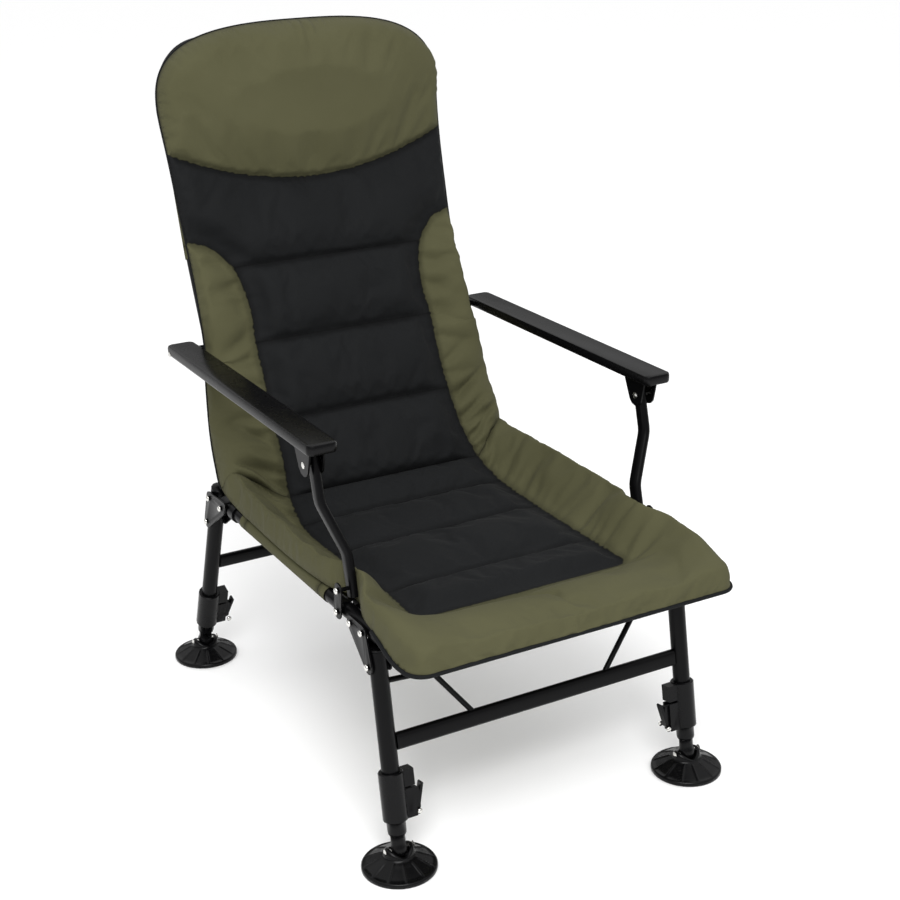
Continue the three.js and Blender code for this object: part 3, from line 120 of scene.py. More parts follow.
# The ceiling is brighter than white straight above and dims to a quarter of that towards the horizon
dim_below, bright_above = 0.15, 0.6
side_strength, ceiling_strength = 0.26, 1.19
world = bpy.data.worlds.new("studio")
world.use_nodes = True
tree = world.node_tree
tree.nodes.clear()
sky = add_node(tree, "ShaderNodeSeparateXYZ", {0: add_node(tree, "ShaderNodeTexCoord").outputs["Generated"]})
overhead = add_node(tree, "ShaderNodeMapRange",
                    {"Value": sky.outputs["Z"], "From Min": dim_below, "From Max": bright_above,
                     "To Min": side_strength, "To Max": ceiling_strength}, interpolation_type="SMOOTHSTEP")
background = add_node(tree, "ShaderNodeBackground", {"Color": (1, 1, 1, 1), "Strength": overhead.outputs[0]})
add_node(tree, "ShaderNodeOutputWorld", {"Surface": background.outputs[0]})
bpy.context.scene.world = world
bpy.context.scene.view_settings.view_transform = "Standard"


def soft_light(name, place, target, size, power):
    lamp = bpy.data.lights.new(name, "AREA")
    lamp.size = size
    lamp.energy = power
    holder = bpy.data.objects.new(name, lamp)
    holder.location = place
    holder.rotation_euler = (Vector(target) - Vector(place)).to_track_quat("-Z", "Y").to_euler()
    bpy.context.collection.objects.link(holder)


soft_light("key_light", place=(-1.1, -2.2, 2.8), target=(0, 0, 0.4), size=1.8, power=91)

# Seat frame, back frame and their brackets
# Black powder-coated steel: two rails joined at the front, the back's bent tube on hinges at their rear ends, and
# stamped plates riveted on for the legs and the arm posts. Depths y below are taken from the chair's own zero, which
# lies 333 mm behind the front of the seat frame.
front_tube_front = 0.333
rail_radius = 0.011
y_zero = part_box("seat_frame")[0].y + front_tube_front
rail_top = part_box("seat_frame")[1].z
rail_middle = rail_top - rail_radius


def hard_finish(name, colour_hex, roughness, grain_mm, grain_depth_mm, specular, metallic=0.0):
    """A coat or moulding with a fine grain and slightly uneven gloss, sized in millimetres."""
    patch_mm = 33.3
    material, tree = new_material(name)
    place = add_node(tree, "ShaderNodeNewGeometry").outputs["Position"]
    grain = add_node(tree, "ShaderNodeTexNoise", {"Vector": place, "Scale": 1000 / grain_mm, "Detail": 2.0})
    patches = add_node(tree, "ShaderNodeTexNoise", {"Vector": place, "Scale": 1000 / patch_mm, "Detail": 3.0})
    uneven = add_node(tree, "ShaderNodeMapRange", {"Value": patches.outputs["Fac"], "To Min": roughness - 0.05,
                                                   "To Max": roughness + 0.07})
    bump = add_node(tree, "ShaderNodeBump", {"Height": grain.outputs["Fac"], "Strength": 0.5,
                                             "Distance": grain_depth_mm / 1000})
    bsdf = add_node(tree, "ShaderNodeBsdfPrincipled", {
        "Base Color": linear(colour_hex), "Metallic": metallic, "Roughness": uneven.outputs[0],
        "Specular IOR Level": specular, "Normal": bump.outputs[0]})
    add_node(tree, "ShaderNodeOutputMaterial", {"Surface": bsdf.outputs[0]})
    return material


# Powder coat: deep black with a faint orange peel, so highlights along the tubes are soft and slightly broken
powder_coat = hard_finish("black_powder_coat_satin", "070708", roughness=0.3, grain_mm=0.7, grain_depth_mm=0.02,
                          specular=0.1)
# Moulded nylon: a little glossier, with a coarser and shallower grain from the mould
nylon = hard_finish("black_moulded_nylon_gloss", "080809", roughness=0.26, grain_mm=1.6, grain_depth_mm=0.012,
                    specular=0.14)
# Nickel plate: a bright and nearly smooth metal that makes the rivet heads sparkle
nickel = hard_finish("nickel_plated_steel_bright", "D9D8D4", roughness=0.2, grain_mm=0.5, grain_depth_mm=0.004,
                     specular=0.5, metallic=1.0)

# Shading of the solids: their facets are welded and shown as round where they meet at a flat angle
weld_reach = 0.00002
sharp_fold = math.radians(34)
shading = bpy.data.node_groups.new("smooth_round_faces", "GeometryNodeTree")
shading.interface.new_socket("Geometry", in_out="INPUT", socket_type="NodeSocketGeometry")
shading.interface.new_socket("Geometry", in_out="OUTPUT", socket_type="NodeSocketGeometry")
entry = add_node(shading, "NodeGroupInput")
plain = add_node(shading, "GeometryNodeRemoveAttribute", {"Geometry": entry.outputs[0], "Name": "custom_normal"})
weld = add_node(shading, "GeometryNodeMergeByDistance", {"Geometry": plain.outputs[0], "Distance": weld_reach})
round_faces = add_node(shading, "GeometryNodeSetShadeSmooth", {"Geometry": weld.outputs[0], "Shade Smooth": True},
                       domain="FACE")
angle = add_node(shading, "GeometryNodeInputMeshEdgeAngle")
folded = add_node(shading, "FunctionNodeCompare", {0: angle.outputs["Unsigned Angle"], 1: sharp_fold},
                  operation="GREATER_THAN", data_type="FLOAT")
edges = add_node(shading, "GeometryNodeSetShadeSmooth",
                 {"Geometry": round_faces.outputs[0], "Selection": folded.outputs[0], "Shade Smooth": False},
                 domain="EDGE")
add_node(shading, "NodeGroupOutput", {0: edges.outputs[0]})


def dress(node, material, rounding=0.0):
    """A CAD node in its real finish, its round faces shaded smooth and, when a rounding is given, its edges broken by
    that radius.
    """
    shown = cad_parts[node]
    shown.modifiers.new("smooth_round_faces", "NODES").node_group = shading
    if rounding:
        bevel = shown.modifiers.new("broken_edges", "BEVEL")
        bevel.width = rounding
        bevel.segments = 3
        bevel.limit_method = "ANGLE"
        bevel.angle_limit = math.radians(50)
    for slot in shown.material_slots:
        slot.link = "OBJECT"
        slot.material = material


def add_piece(name, points, faces, material, body):
    mesh = bpy.data.meshes.new(name)
    mesh.from_pydata([tuple(map(float, p)) for p in points], [], faces)
    mesh.materials.append(material)
    for face in mesh.polygons:
        face.use_smooth = True
    made = bpy.data.objects.new(name, mesh)
    bpy.context.collection.objects.link(made)
    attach(made, body)
    return made


def turned(profile, sides, place, axis):
    """Points and faces of a turned shape: profile is (radius, height) pairs along axis, from place."""
    axis = Vector(axis).normalized()
    across = axis.orthogonal().normalized()
    other = axis.cross(across)
    points, faces = [], []
    for radius, height in profile:
        for k in range(sides):
            a = 2 * math.pi * k / sides
            points.append(Vector(place) + axis * height + (across * math.cos(a) + other * math.sin(a)) * radius)
    for row in range(len(profile) - 1):
        for k in range(sides):
            a, b = row * sides + k, row * sides + (k + 1) % sides
            faces.append((a, b, b + sides, a + sides))
    return points, faces


def rivet_head(name, place, outward, radius, body, height=0.0028):
    """A domed nickel rivet head with its small rim."""
    sides = 24
    profile = [(radius * 0.98, -0.0006), (radius, 0.0004), (radius * 0.93, height * 0.45),
               (radius * 0.72, height * 0.8), (radius * 0.38, height * 0.97), (radius * 0.03, height)]
    points, faces = turned(profile, sides, place, outward)
    faces.append(tuple(len(points) - sides + k for k in range(sides)))
    faces.append(tuple(reversed(range(sides))))
    return add_piece(name, points, faces, nickel, body)


# Rivet heads stand on the outer plates, each given by its plate, y, z and body
plate_face_x = 0.2608
plate_rivet_radius = 0.0048
plate_rivets = [("post", -0.169, 0.335, "seat"), ("post", -0.173, 0.368, "seat"), ("front_leg", -0.209, 0.335, "seat"),
                ("front_leg", -0.243, 0.335, "seat"), ("front_leg", -0.258, 0.291, "seat"),
                ("rear_leg", 0.25, 0.335, "rear_legs"), ("rear_leg", 0.299, 0.335, "rear_legs"),
                ("rear_leg", 0.316, 0.289, "rear_legs")]
for node in ("seat_frame", "back_frame", "front_crossbar", "rear_crossbar"):
    dress(node, powder_coat)
for side_name, side_sign in (("left", -1), ("right", 1)):
    for node in ("front_leg_bracket", "rear_leg_bracket", "post_bracket", "back_hinge_bracket"):
        dress(f"{node}_{side_name}", powder_coat, 0.0006)
    dress(f"rail_cap_{side_name}", nylon, 0.0008)
    for number, (plate, y, z, body) in enumerate(plate_rivets):
        rivet_head(f"{plate}_rivet_{number}_{side_name}", (side_sign * plate_face_x, y + y_zero, z),
                   (side_sign, 0, 0), plate_rivet_radius, body)

# Legs
# Each leg is a black steel tube under the frame, capped at the top, with a nylon collar and cam lever at its lower
# end that grip a sliding nylon inner leg. A steel stay runs from the rail to the front crossbar on either side.


def lower_leg(end, side_name):
    """The sliding inner leg: a round nylon bar with a stepped collar end, a waist and the ball of the foot's joint."""
    sides = 40
    pin_radius = 0.0045
    top_ring = 0.004
    node = f"{end}_inner_leg_{side_name}"
    corners = np.array([tuple(v.co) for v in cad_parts[node].data.vertices])
    top = corners[corners[:, 2] > corners[:, 2].max() - top_ring].mean(axis=0)
    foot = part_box(f"{end}_foot_{side_name}")
    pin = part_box(f"{end}_foot_pin_{side_name}")
    ball = np.array([(foot[0].x + foot[1].x) / 2, (foot[0].y + foot[1].y) / 2, pin[0].z + pin_radius])
    axis = (top - ball) / np.linalg.norm(top - ball)
    length = float(np.linalg.norm(top - ball))
    profile = [(0.002, -0.0125), (0.0065, -0.0108), (0.0105, -0.0068), (0.0124, -0.001), (0.0116, 0.0045),
               (0.0104, 0.008), (0.0102, 0.02), (0.0116, 0.0215), (0.0128, 0.0235), (0.0132, 0.027),
               (0.0132, 0.0405), (0.0139, 0.0412), (0.0139, 0.0418), (0.0103, 0.0424), (0.0103, length - 0.001),
               (0.0095, length)]
    points, faces = turned(profile, sides, ball, axis)
    faces += [tuple(reversed(range(sides))), tuple(len(points) - sides + k for k in range(sides))]
    made = add_piece(f"{end}_lower_leg_{side_name}", points, faces, nylon, f"{end}_inner_{side_name}")
    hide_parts(node)


def swivel_foot(end, side_name):
    """The round foot: a ribbed cone of twelve fields, a rim notched underneath, and a hub with two ears for the pin."""
    node = f"{end}_foot_{side_name}"
    low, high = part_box(node)
    middle = ((low.x + high.x) / 2, (low.y + high.y) / 2)
    sides, fields = 192, 12
    hub_inner, hub_outer, cone_outer, rim_inner = 0.0142, 0.0223, 0.0486, 0.0464
    cone_inner = 0.0235
    rib_half, rib_height, field_hollow = 0.0011, 0.0011, 0.0008
    notch_half, notch_depth = 0.0024, 0.0022
    saddle_height = 0.0235
    ear_inset = 0.0030
    profile = [(0.0, 0.004), (0.046, 0.004), (0.0465, 0.0), (0.0512, 0.0), (0.0525, 0.0012), (0.0525, 0.0052),
               (0.0516, 0.0068), (0.0497, 0.0076), (0.0485, 0.0078), (0.044, 0.0102), (0.038, 0.0132), (0.032, 0.0162),
               (0.027, 0.0186), (0.0235, 0.0202), (0.0222, 0.0212), (0.0216, 0.024), (0.0214, 0.028), (0.0205, 0.0315),
               (0.0186, 0.0335), (0.0162, 0.034), (0.0148, 0.033), (0.0143, 0.03), (0.0141, 0.022), (0.0125, 0.0165),
               (0.0, 0.0155)]
    points, faces = [], []
    for radius, height in profile:
        for k in range(sides):
            a = 2 * math.pi * k / sides
            field = (a / (2 * math.pi) * fields + 0.5) % 1
            from_rib = min(field, 1 - field) * 2 * math.pi / fields * radius
            r, h = radius, height
            if cone_inner < radius < cone_outer:
                rib = rib_height * math.exp(-(from_rib / rib_half) ** 2)
                h += rib - field_hollow * math.sin(math.pi * field) ** 0.5
            if radius > rim_inner and height < 0.0011 and from_rib < notch_half:
                h += notch_depth
            if hub_inner < radius < hub_outer and height > 0.02:
                r -= ear_inset * (1 - abs(math.cos(a)) ** 3) * min(1, (radius - hub_inner) / 0.004)
            if radius < hub_outer and height > saddle_height:
                h = saddle_height + (height - saddle_height) * abs(math.cos(a)) ** 1.5
            points.append((middle[0] + r * math.cos(a), middle[1] + r * math.sin(a), h))
    for row in range(len(profile) - 1):
        for k in range(sides):
            a, b = row * sides + k, row * sides + (k + 1) % sides
            faces.append((a, b, b + sides, a + sides))
    made = add_piece(f"{end}_swivel_foot_{side_name}", points, faces, nylon, node)
    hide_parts(node)


# The lever's pin shows as two nickel heads on the collar
lever_pin_inset, lever_pin_half, lever_pin_rise, lever_pin_radius = 0.0105, 0.0098, 0.006, 0.0042
for end in ("front", "rear"):
    for side_name in ("left", "right"):
        dress(f"{end}_leg_{side_name}", powder_coat)
        dress(f"{end}_leg_cap_{side_name}", nylon, 0.0006)
        dress(f"{end}_collar_{side_name}", nylon, 0.0007)
        dress(f"{end}_lever_{side_name}", nylon, 0.0007)
        lower_leg(end, side_name)
        swivel_foot(end, side_name)
        dress(f"{end}_foot_pin_{side_name}", nickel)
        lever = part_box(f"{end}_lever_{side_name}")
        pin_x = lever[1].x - lever_pin_inset if side_name == "left" else lever[0].x + lever_pin_inset
        for number, outward in enumerate((-1, 1)):
            pin_end = (lever[0].y + lever[1].y) / 2 + outward * lever_pin_half
            rivet_head(f"{end}_lever_pin_{number}_{side_name}", (pin_x, pin_end, lever[0].z + lever_pin_rise),
                       (0, outward, 0), lever_pin_radius, f"{end}_legs")
for side_name in ("left", "right"):
    dress(f"front_stay_{side_name}", powder_coat)

# Arms
# Long moulded nylon armrests with rounded edges, each bolted to the back's tube at the rear and riveted to a steel ear
# at the front, which turns on the top of a bent oval post.
for side_name in ("left", "right"):
    dress(f"armrest_{side_name}", nylon, 0.003)
    dress(f"arm_post_{side_name}", powder_coat)
    dress(f"armrest_bracket_{side_name}", powder_coat, 0.0006)
    dress(f"armrest_bolt_{side_name}", nickel)
    dress(f"armrest_rivet_{side_name}", nickel)

# Slings
# Olive cloth stretched between the seat rails and between the back's tubes, and sewn round them as long sleeves. It
# sags a little where the mattress lies on it.


def woven_cloth(name, light_hex, shade_hex, roughness):
    """Matte woven polyester: uneven dye, slack folds, fine threads, and a dark line at each seam inside painted shade
    that fades out over 13 mm.

    Real threads lie about 0.5 mm apart, too fine for the picture, so they are drawn 1.1 mm apart.
    """
    patch_mm, fold_mm, thread_mm = 111.1, 71.4, 1.111
    line_start, line_end, line_dark = 0.0003, 0.0016, 0.4
    # Painted shade: the cloth's colour darkens to 0.62 at each seam and recovers over 13 mm, standing in for the shade
    # in the seam's hollow.
    painted_shade_reach, painted_shade_dark = 0.013, 0.62
    material, tree = new_material(name)
    place = add_node(tree, "ShaderNodeNewGeometry").outputs["Position"]
    seam = add_node(tree, "ShaderNodeAttribute", attribute_name="seam_distance").outputs["Fac"]
    patches = add_node(tree, "ShaderNodeTexNoise", {"Vector": place, "Scale": 1000 / patch_mm,
                                                    "Detail": 4.0}).outputs["Fac"]
    tint = add_node(tree, "ShaderNodeMix", {"Factor": patches, 6: linear(shade_hex), 7: linear(light_hex)},
                    data_type="RGBA")
    line = add_node(tree, "ShaderNodeMapRange", {"Value": seam, "From Min": line_start, "From Max": line_end,
                                                 "To Min": line_dark, "To Max": 1.0}).outputs[0]
    painted_seam_shade = add_node(tree, "ShaderNodeMapRange", {"Value": seam, "From Min": 0.0, "From Max": painted_shade_reach,
                                                   "To Min": painted_shade_dark, "To Max": 1.0},
                      interpolation_type="SMOOTHERSTEP")
    # The dark seam line times the painted shade, multiplied into the dyed colour below.
    seam_line_and_painted_shade = add_node(tree, "ShaderNodeMath", {0: line, 1: painted_seam_shade.outputs[0]}, operation="MULTIPLY")
    shaded = add_node(tree, "ShaderNodeMix", {"Factor": 1.0, 6: tint.outputs[2], 7: seam_line_and_painted_shade.outputs[0]},
                      data_type="RGBA", blend_type="MULTIPLY")
    threads = add_node(tree, "ShaderNodeTexNoise", {"Vector": place, "Scale": 1000 / thread_mm,
                                                    "Detail": 1.0}).outputs["Fac"]
    folds = add_node(tree, "ShaderNodeTexNoise", {"Vector": place, "Scale": 1000 / fold_mm, "Detail": 2.0,
                                                  "Distortion": 0.4}).outputs["Fac"]
    fine = add_node(tree, "ShaderNodeBump", {"Height": threads, "Strength": 0.25, "Distance": 0.0004})
    soft = add_node(tree, "ShaderNodeBump", {"Height": folds, "Strength": 0.3, "Distance": 0.004,
                                             "Normal": fine.outputs[0]})
    bsdf = add_node(tree, "ShaderNodeBsdfPrincipled", {
        "Base Color": shaded.outputs[2], "Roughness": roughness, "Specular IOR Level": 0.09, "Sheen Weight": 0.015,
        "Sheen Roughness": 0.5, "Normal": soft.outputs[0]})
    add_node(tree, "ShaderNodeOutputMaterial", {"Surface": bsdf.outputs[0]})
    return material


# Olive cloth: a dull greenish brown without shine. Black cloth: a bluish black that is a little smoother.
olive_cloth = woven_cloth("olive_woven_polyester_matte", "4F4E38", "45442F", roughness=0.8)
black_cloth = woven_cloth("black_woven_polyester_matte", "171819", "121314", roughness=0.75)


def smooth(value):
    share = np.clip(value, 0, 1)
    return share * share * (3 - 2 * share)


def stretched_sheet(name, rows, material, body):
    """A sheet through rows of points.

    A hem is sewn across it two rows in from either end.
    """
    row_gap, hem = 0.01, 0.02
    grid = np.array(rows)
    wide = grid.shape[1]
    faces = [(r * wide + c, r * wide + c + 1, (r + 1) * wide + c + 1, (r + 1) * wide + c)
             for r in range(len(rows) - 1) for c in range(wide - 1)]
    made = add_piece(name, grid.reshape(-1, 3), faces, material, body)
    # Distance to the hem, which the cloth's finish draws as a dark hem line inside painted shade.
    from_end = np.minimum(np.arange(len(rows)), np.arange(len(rows))[::-1])[:, None] * row_gap
    from_hem = np.abs(from_end - hem) + np.zeros(grid.shape[:2])
    stored = made.data.attributes.new("seam_distance", "FLOAT", "POINT")
    stored.data.foreach_set("value", from_hem.astype(np.float32).ravel())
    return made


rail_x = 0.243
front_tube_y = -0.322
seat_sag, sag_from_front, sag_half_width = 0.046, 0.13, 0.228
sleeve_radius = 0.0121


def sling_z(x, y):
    """Height of the seat sling: level with the tops of the rails, and sagging between them behind the front tube."""
    sag = seat_sag * smooth((y - front_tube_y) / sag_from_front) * np.clip(
        1 - (np.abs(x) / sag_half_width) ** 3, 0, None)
    return rail_middle + sleeve_radius - 0.0004 - sag


def both_halves(half):
    return [(-x, *rest_of) for x, *rest_of in half] + [(x, *rest_of) for x, *rest_of in reversed(half[:-1])]


# The seat sling's sleeves run round the rails behind the arm posts; its front part lies between the rails and is sewn
# round the front tube
sleeve_front_y, sleeve_rear_y = -0.118, 0.182
web_half, front_wrap_half = 0.208, 0.2


def seat_sleeve_row(y):
    wrap = [(rail_x + sleeve_radius * math.cos(a), rail_middle + sleeve_radius * math.sin(a))
            for a in np.radians(np.linspace(-85, 88, 14))]
    half = [(0.21, rail_middle - 0.0122), (0.228, rail_middle - 0.0126)] + wrap + [
        (x, sling_z(x, y)) for x in np.linspace(0.238, 0, 22)]
    return [(x, y + y_zero, z) for x, z in both_halves(half)]


seat_sleeves = [seat_sleeve_row(y) for y in np.linspace(sleeve_front_y, sleeve_rear_y, 31)]
front_web = [[(x, y + y_zero, sling_z(x, y) - 0.0005) for x in np.linspace(-web_half, web_half, 41)]
             for y in np.linspace(sleeve_front_y, front_tube_y, 22)]
front_web += [[(x, front_tube_y + y_zero - sleeve_radius * math.sin(a), rail_middle + sleeve_radius * math.cos(a))
               for x in np.linspace(-front_wrap_half, front_wrap_half, 41)]
              for a in np.radians(np.linspace(12, 200, 14))]
seat_sheet = stretched_sheet("seat_sling_sleeved", seat_sleeves, olive_cloth, "seat")
stretched_sheet("seat_sling_front", front_web, olive_cloth, "seat")
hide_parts("seat_sling")

# Middle of the back tubes seen from the side, as depths and heights, and the sling stretched between them
back_tube_line = [(0.296, 0.397), (0.34, 0.568), (0.396, 0.704), (0.456, 0.905), (0.473, 1.015)]
back_tube_depths, back_tube_heights = zip(*back_tube_line)
back_tube_x = 0.222
back_sleeve_radius = 0.0112
back_sag, back_sag_half_width = 0.014, 0.212
sag_low_z, sag_ease = 0.6, 0.03


def behind_back(x, forward, z):
    """A point at x and height z, a distance in front of the back tubes' own plane."""
    near = 0.03
    depth = float(np.interp(z, back_tube_heights, back_tube_depths))
    above = float(np.interp(z + near, back_tube_heights, back_tube_depths))
    below = float(np.interp(z - near, back_tube_heights, back_tube_depths))
    lean_y = (above - below) / (2 * near)
    long = math.hypot(lean_y, 1)
    return (x, depth - forward / long + y_zero, z + forward * lean_y / long)


def back_sling_row(z):
    radius = back_sleeve_radius
    sag = back_sag * float(smooth((z - sag_low_z) / sag_ease) * smooth((0.94 - z) / sag_ease))
    sheet = [(x, radius - sag * max(0.0, 1 - (x / back_sag_half_width) ** 2)) for x in np.linspace(0.217, 0, 22)]
    wrap = [(back_tube_x + radius * math.cos(a), radius * math.sin(a)) for a in np.radians(np.linspace(-85, 88, 14))]
    half = [(0.196, -radius), (0.21, -radius - 0.0004)] + wrap + sheet
    return [behind_back(x, forward, z) for x, forward in both_halves(half)]


def lower_back_row(z):
    sag = back_sag * float(smooth((z - sag_low_z) / sag_ease))
    return [behind_back(x, 0.0108 - sag * (1 - (x / back_sag_half_width) ** 2), z)
            for x in np.linspace(-web_half, web_half, 41)]


back_sheet = stretched_sheet("back_sling_sleeved", [back_sling_row(z) for z in np.linspace(0.7, 0.93, 25)],
                             olive_cloth, "back")
stretched_sheet("back_sling_lower", [lower_back_row(z) for z in np.linspace(0.59, 0.705, 13)], olive_cloth,
                "back")
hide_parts("back_sling")

# Head cover
# A black cloth hood pulled down over the bent top of the back frame, open below. It hides the frame's corners behind
# the head part of the mattress.
cover_top, cover_corner, cover_half = 1.0275, 0.083, 0.2345
cover_radius = 0.0124


def cover_row(z):
    into_corner = max(0.0, z - (cover_top - cover_corner))
    reach = cover_half - cover_corner + math.sqrt(max(0.0, cover_corner ** 2 - into_corner ** 2))
    into_top = max(0.0, (z - cover_top + cover_radius) / cover_radius)
    thick = cover_radius * math.sqrt(max(0.0004, 1 - into_top ** 2))
    front = [(reach - 0.045, thick), (reach - 0.025, thick)]
    wrap = [(reach - cover_radius + cover_radius * math.cos(a), thick * math.sin(a))
            for a in np.radians(np.linspace(88, -88, 14))]
    behind = [(x, -thick) for x in np.linspace(reach - 0.02, 0, 16)]
    return [behind_back(x, forward, z) for x, forward in both_halves(front + wrap + behind)]


cover_heights = list(np.linspace(0.86, 0.94, 9)) + list(np.linspace(0.948, 1.013, 14)) + [
    1.0165, 1.0195, 1.022, 1.0242, 1.0258, 1.0268, 1.0274]
stretched_sheet("head_cover", [cover_row(z) for z in cover_heights], black_cloth, "back")

# Mattress
# A padded mattress lies over the seat and up the back: a front cloth quilted into a black channelled middle, olive
# side bolsters and an olive head part, sewn to a black rear cloth round the edge, and bent where the chair folds.
crease_y, crease_z = 0.186, 0.357
seat_front_y = -0.384
head_top_z = 1.0435
head_widest_z = 0.924
cloth_gap = 0.0025
front_cell, rear_cell = 0.007, 0.02
on_line = 1e-4


def curve(knots, at):
    """A smooth line through knots, given as pairs, read at one or more places."""
    places, values = (np.array(column, float) for column in zip(*knots))
    slopes = np.gradient(values, places)
    i = np.clip(np.searchsorted(places, at) - 1, 0, len(places) - 2)
    run = places[i + 1] - places[i]
    share = np.clip((np.asarray(at) - places[i]) / run, 0, 1)
    ease_in = share * (1 - share) ** 2
    ease_out = share * share * (share - 1)
    blend = share * share * (3 - 2 * share)
    return (values[i] * (1 - blend) + values[i + 1] * blend
            + run * (ease_in * slopes[i] + ease_out * slopes[i + 1]))


back_seam_depths = [(crease_z, crease_y), (0.4, 0.2215), (0.457, 0.2605), (0.571, 0.317), (0.686, 0.3685),
                    (0.733, 0.3905), (0.8, 0.4142), (0.86, 0.4263), (head_widest_z, 0.4318), (head_top_z, 0.4211)]

# Line of the seams seen from the side, from the front edge over the crease to the head, and the distance t along it
seat_steps, back_steps = 120, 200
seat_seam_heights = [(seat_front_y, 0.331), (-0.31, 0.342), (-0.235, 0.33), (-0.145, 0.33), (0.012, 0.327),
                     (0.1, 0.329), (0.1235, 0.332), (crease_y, crease_z)]
seat_ys = np.linspace(seat_front_y, crease_y, seat_steps)[:-1]
back_zs = np.linspace(crease_z, head_top_z, back_steps)
profile_y = np.concatenate([seat_ys, curve(back_seam_depths, back_zs)])
profile_z = np.concatenate([curve(seat_seam_heights, seat_ys), back_zs])
profile_t = np.concatenate([[0], np.cumsum(np.hypot(np.diff(profile_y), np.diff(profile_z)))])
crease_t = float(np.interp(crease_y, profile_y, profile_t))
total_t = float(profile_t[-1])


def seat_t(y):
    return float(np.interp(y, profile_y, profile_t))


def back_t(z):
    return np.interp(z, back_zs, profile_t[len(seat_ys):])


def rear_depth(x, t):
    """How far behind the seams the rear cloth lies: on the slings, and hanging over the rails' ends at the front."""
    thickest, over_sling, off_tube, lean_share = 0.04, 0.0018, 0.0137, 0.78
    deepest_drop, drop_y, drop_run = 0.0195, -0.345, 0.03
    y, z = np.interp(t, profile_t, profile_y), np.interp(t, profile_t, profile_z)
    beside_rail = smooth((np.abs(x) - 0.236) / 0.014)
    front_drop = deepest_drop * smooth((drop_y + 0.085 * beside_rail - y) / (drop_run + 0.06 * beside_rail))
    seat_depth = np.minimum(z - (sling_z(x, y) + over_sling - front_drop), thickest)
    tube_y = np.interp(z, back_tube_heights, back_tube_depths)
    sag = back_sag * np.clip(1 - (x / back_sag_half_width) ** 2, 0, None) * smooth((z - sag_low_z) / sag_ease) * smooth(
        (0.92 - z) / sag_ease)
    back_depth = np.minimum((tube_y - off_tube + sag - y) * lean_share, thickest)
    return np.where(t < crease_t, seat_depth, back_depth)


def surface(x, t, forward):
    """The point at x and t, a distance in front of the seams' own surface."""
    step = 0.004
    y, z = np.interp(t, profile_t, profile_y), np.interp(t, profile_t, profile_z)
    dy = np.interp(t + step, profile_t, profile_y) - np.interp(t - step, profile_t, profile_y)
    dz = np.interp(t + step, profile_t, profile_z) - np.interp(t - step, profile_t, profile_z)
    long = np.hypot(dy, dz)
    return np.stack([x, y - forward * dz / long + y_zero, z + forward * dy / long], axis=-1)


# Outline of the cut cloth: notched at the arm posts, waisted at the back, with a round head and round front corners
front_half, head_half = 0.2565, 0.244
side_line = [(0.0, front_half), (seat_t(-0.28), front_half), (seat_t(-0.226), 0.2485), (seat_t(-0.19), 0.235),
             (seat_t(-0.158), 0.2345), (seat_t(-0.125), 0.247), (seat_t(-0.1), 0.25), (crease_t, 0.25),
             (back_t(0.46), 0.2475), (back_t(0.558), 0.2395), (back_t(0.62), 0.2345), (back_t(0.704), 0.2325),
             (back_t(0.768), 0.235), (back_t(0.859), 0.239), (back_t(head_widest_z), head_half)]
front_corner, head_power = 0.027, 2.8
head_t = float(back_t(head_widest_z))


def half_width(t):
    side = curve(side_line, np.minimum(t, head_t))
    into_corner = np.clip((front_corner - t) / front_corner, 0, 1)
    into_head = np.clip((t - head_t) / (total_t - head_t), 0, 1)
    rounded = side - front_corner * (1 - np.sqrt(1 - into_corner ** 2))
    return rounded * (1 - into_head ** head_power) ** (1 / head_power)


def outline_half():
    corner = [(front_half - front_corner + front_corner * math.sin(a), front_corner - front_corner * math.cos(a))
              for a in np.linspace(0, math.pi / 2, 10)]
    front = [(x, 0.0) for x in np.linspace(0, front_half - front_corner, 28)[:-1]]
    side = [(float(half_width(t)), float(t)) for t in np.linspace(front_corner, head_t, 150)[1:]]
    head = [(head_half * math.cos(a) ** (2 / head_power), head_t + (total_t - head_t) * math.sin(a) ** (2 / head_power))
            for a in np.linspace(0, math.pi / 2, 60)[1:-1]]
    return front + corner + side + head + [(0.0, total_t)]


# The edge itself leaves the seams' surface round the fold: it stays on the rails as far as the hinges, turns up there
# and lies in front of the back tubes. Each knot is a distance along the seams, and the edge's depth and height.
edge_line = [(seat_t(-0.1), -0.1, rail_top + cloth_gap), (seat_t(-0.04), -0.035, rail_top + cloth_gap),
             (seat_t(0.03), 0.045, rail_top + cloth_gap), (seat_t(0.09), 0.12, rail_top + cloth_gap),
             (seat_t(0.14), 0.195, rail_top + 0.003), (crease_t, 0.262, 0.3595), (float(back_t(0.395)), 0.284, 0.393),
             (float(back_t(0.432)), 0.2975, 0.431), (float(back_t(0.48)), 0.309, 0.482),
             (float(back_t(0.54)), 0.3225, 0.545)]


def edge_shift(x, t):
    """How far the cloth at x and t is drawn off the seams' surface, nothing at the bolster seam and all at the edge."""
    reach = half_width(t)
    inner = bolster_x(np.clip(t, bolster_line[0][0], bolster_end_t))
    share = smooth((np.abs(x) - inner) / np.maximum(reach - inner, 0.01)) ** 0.8
    plain = surface(reach, t, -rear_depth(reach, t))
    ts = [knot[0] for knot in edge_line]
    wanted_y = curve([(k[0], k[1]) for k in edge_line], t) + y_zero
    wanted_z = curve([(k[0], k[2]) for k in edge_line], t)
    strength = share * (t > ts[0]) * smooth((float(back_t(0.62)) - t) / 0.07)
    return np.stack([np.zeros_like(share), strength * (wanted_y - plain[:, 1]), strength * (wanted_z - plain[:, 2])],
                    axis=-1)


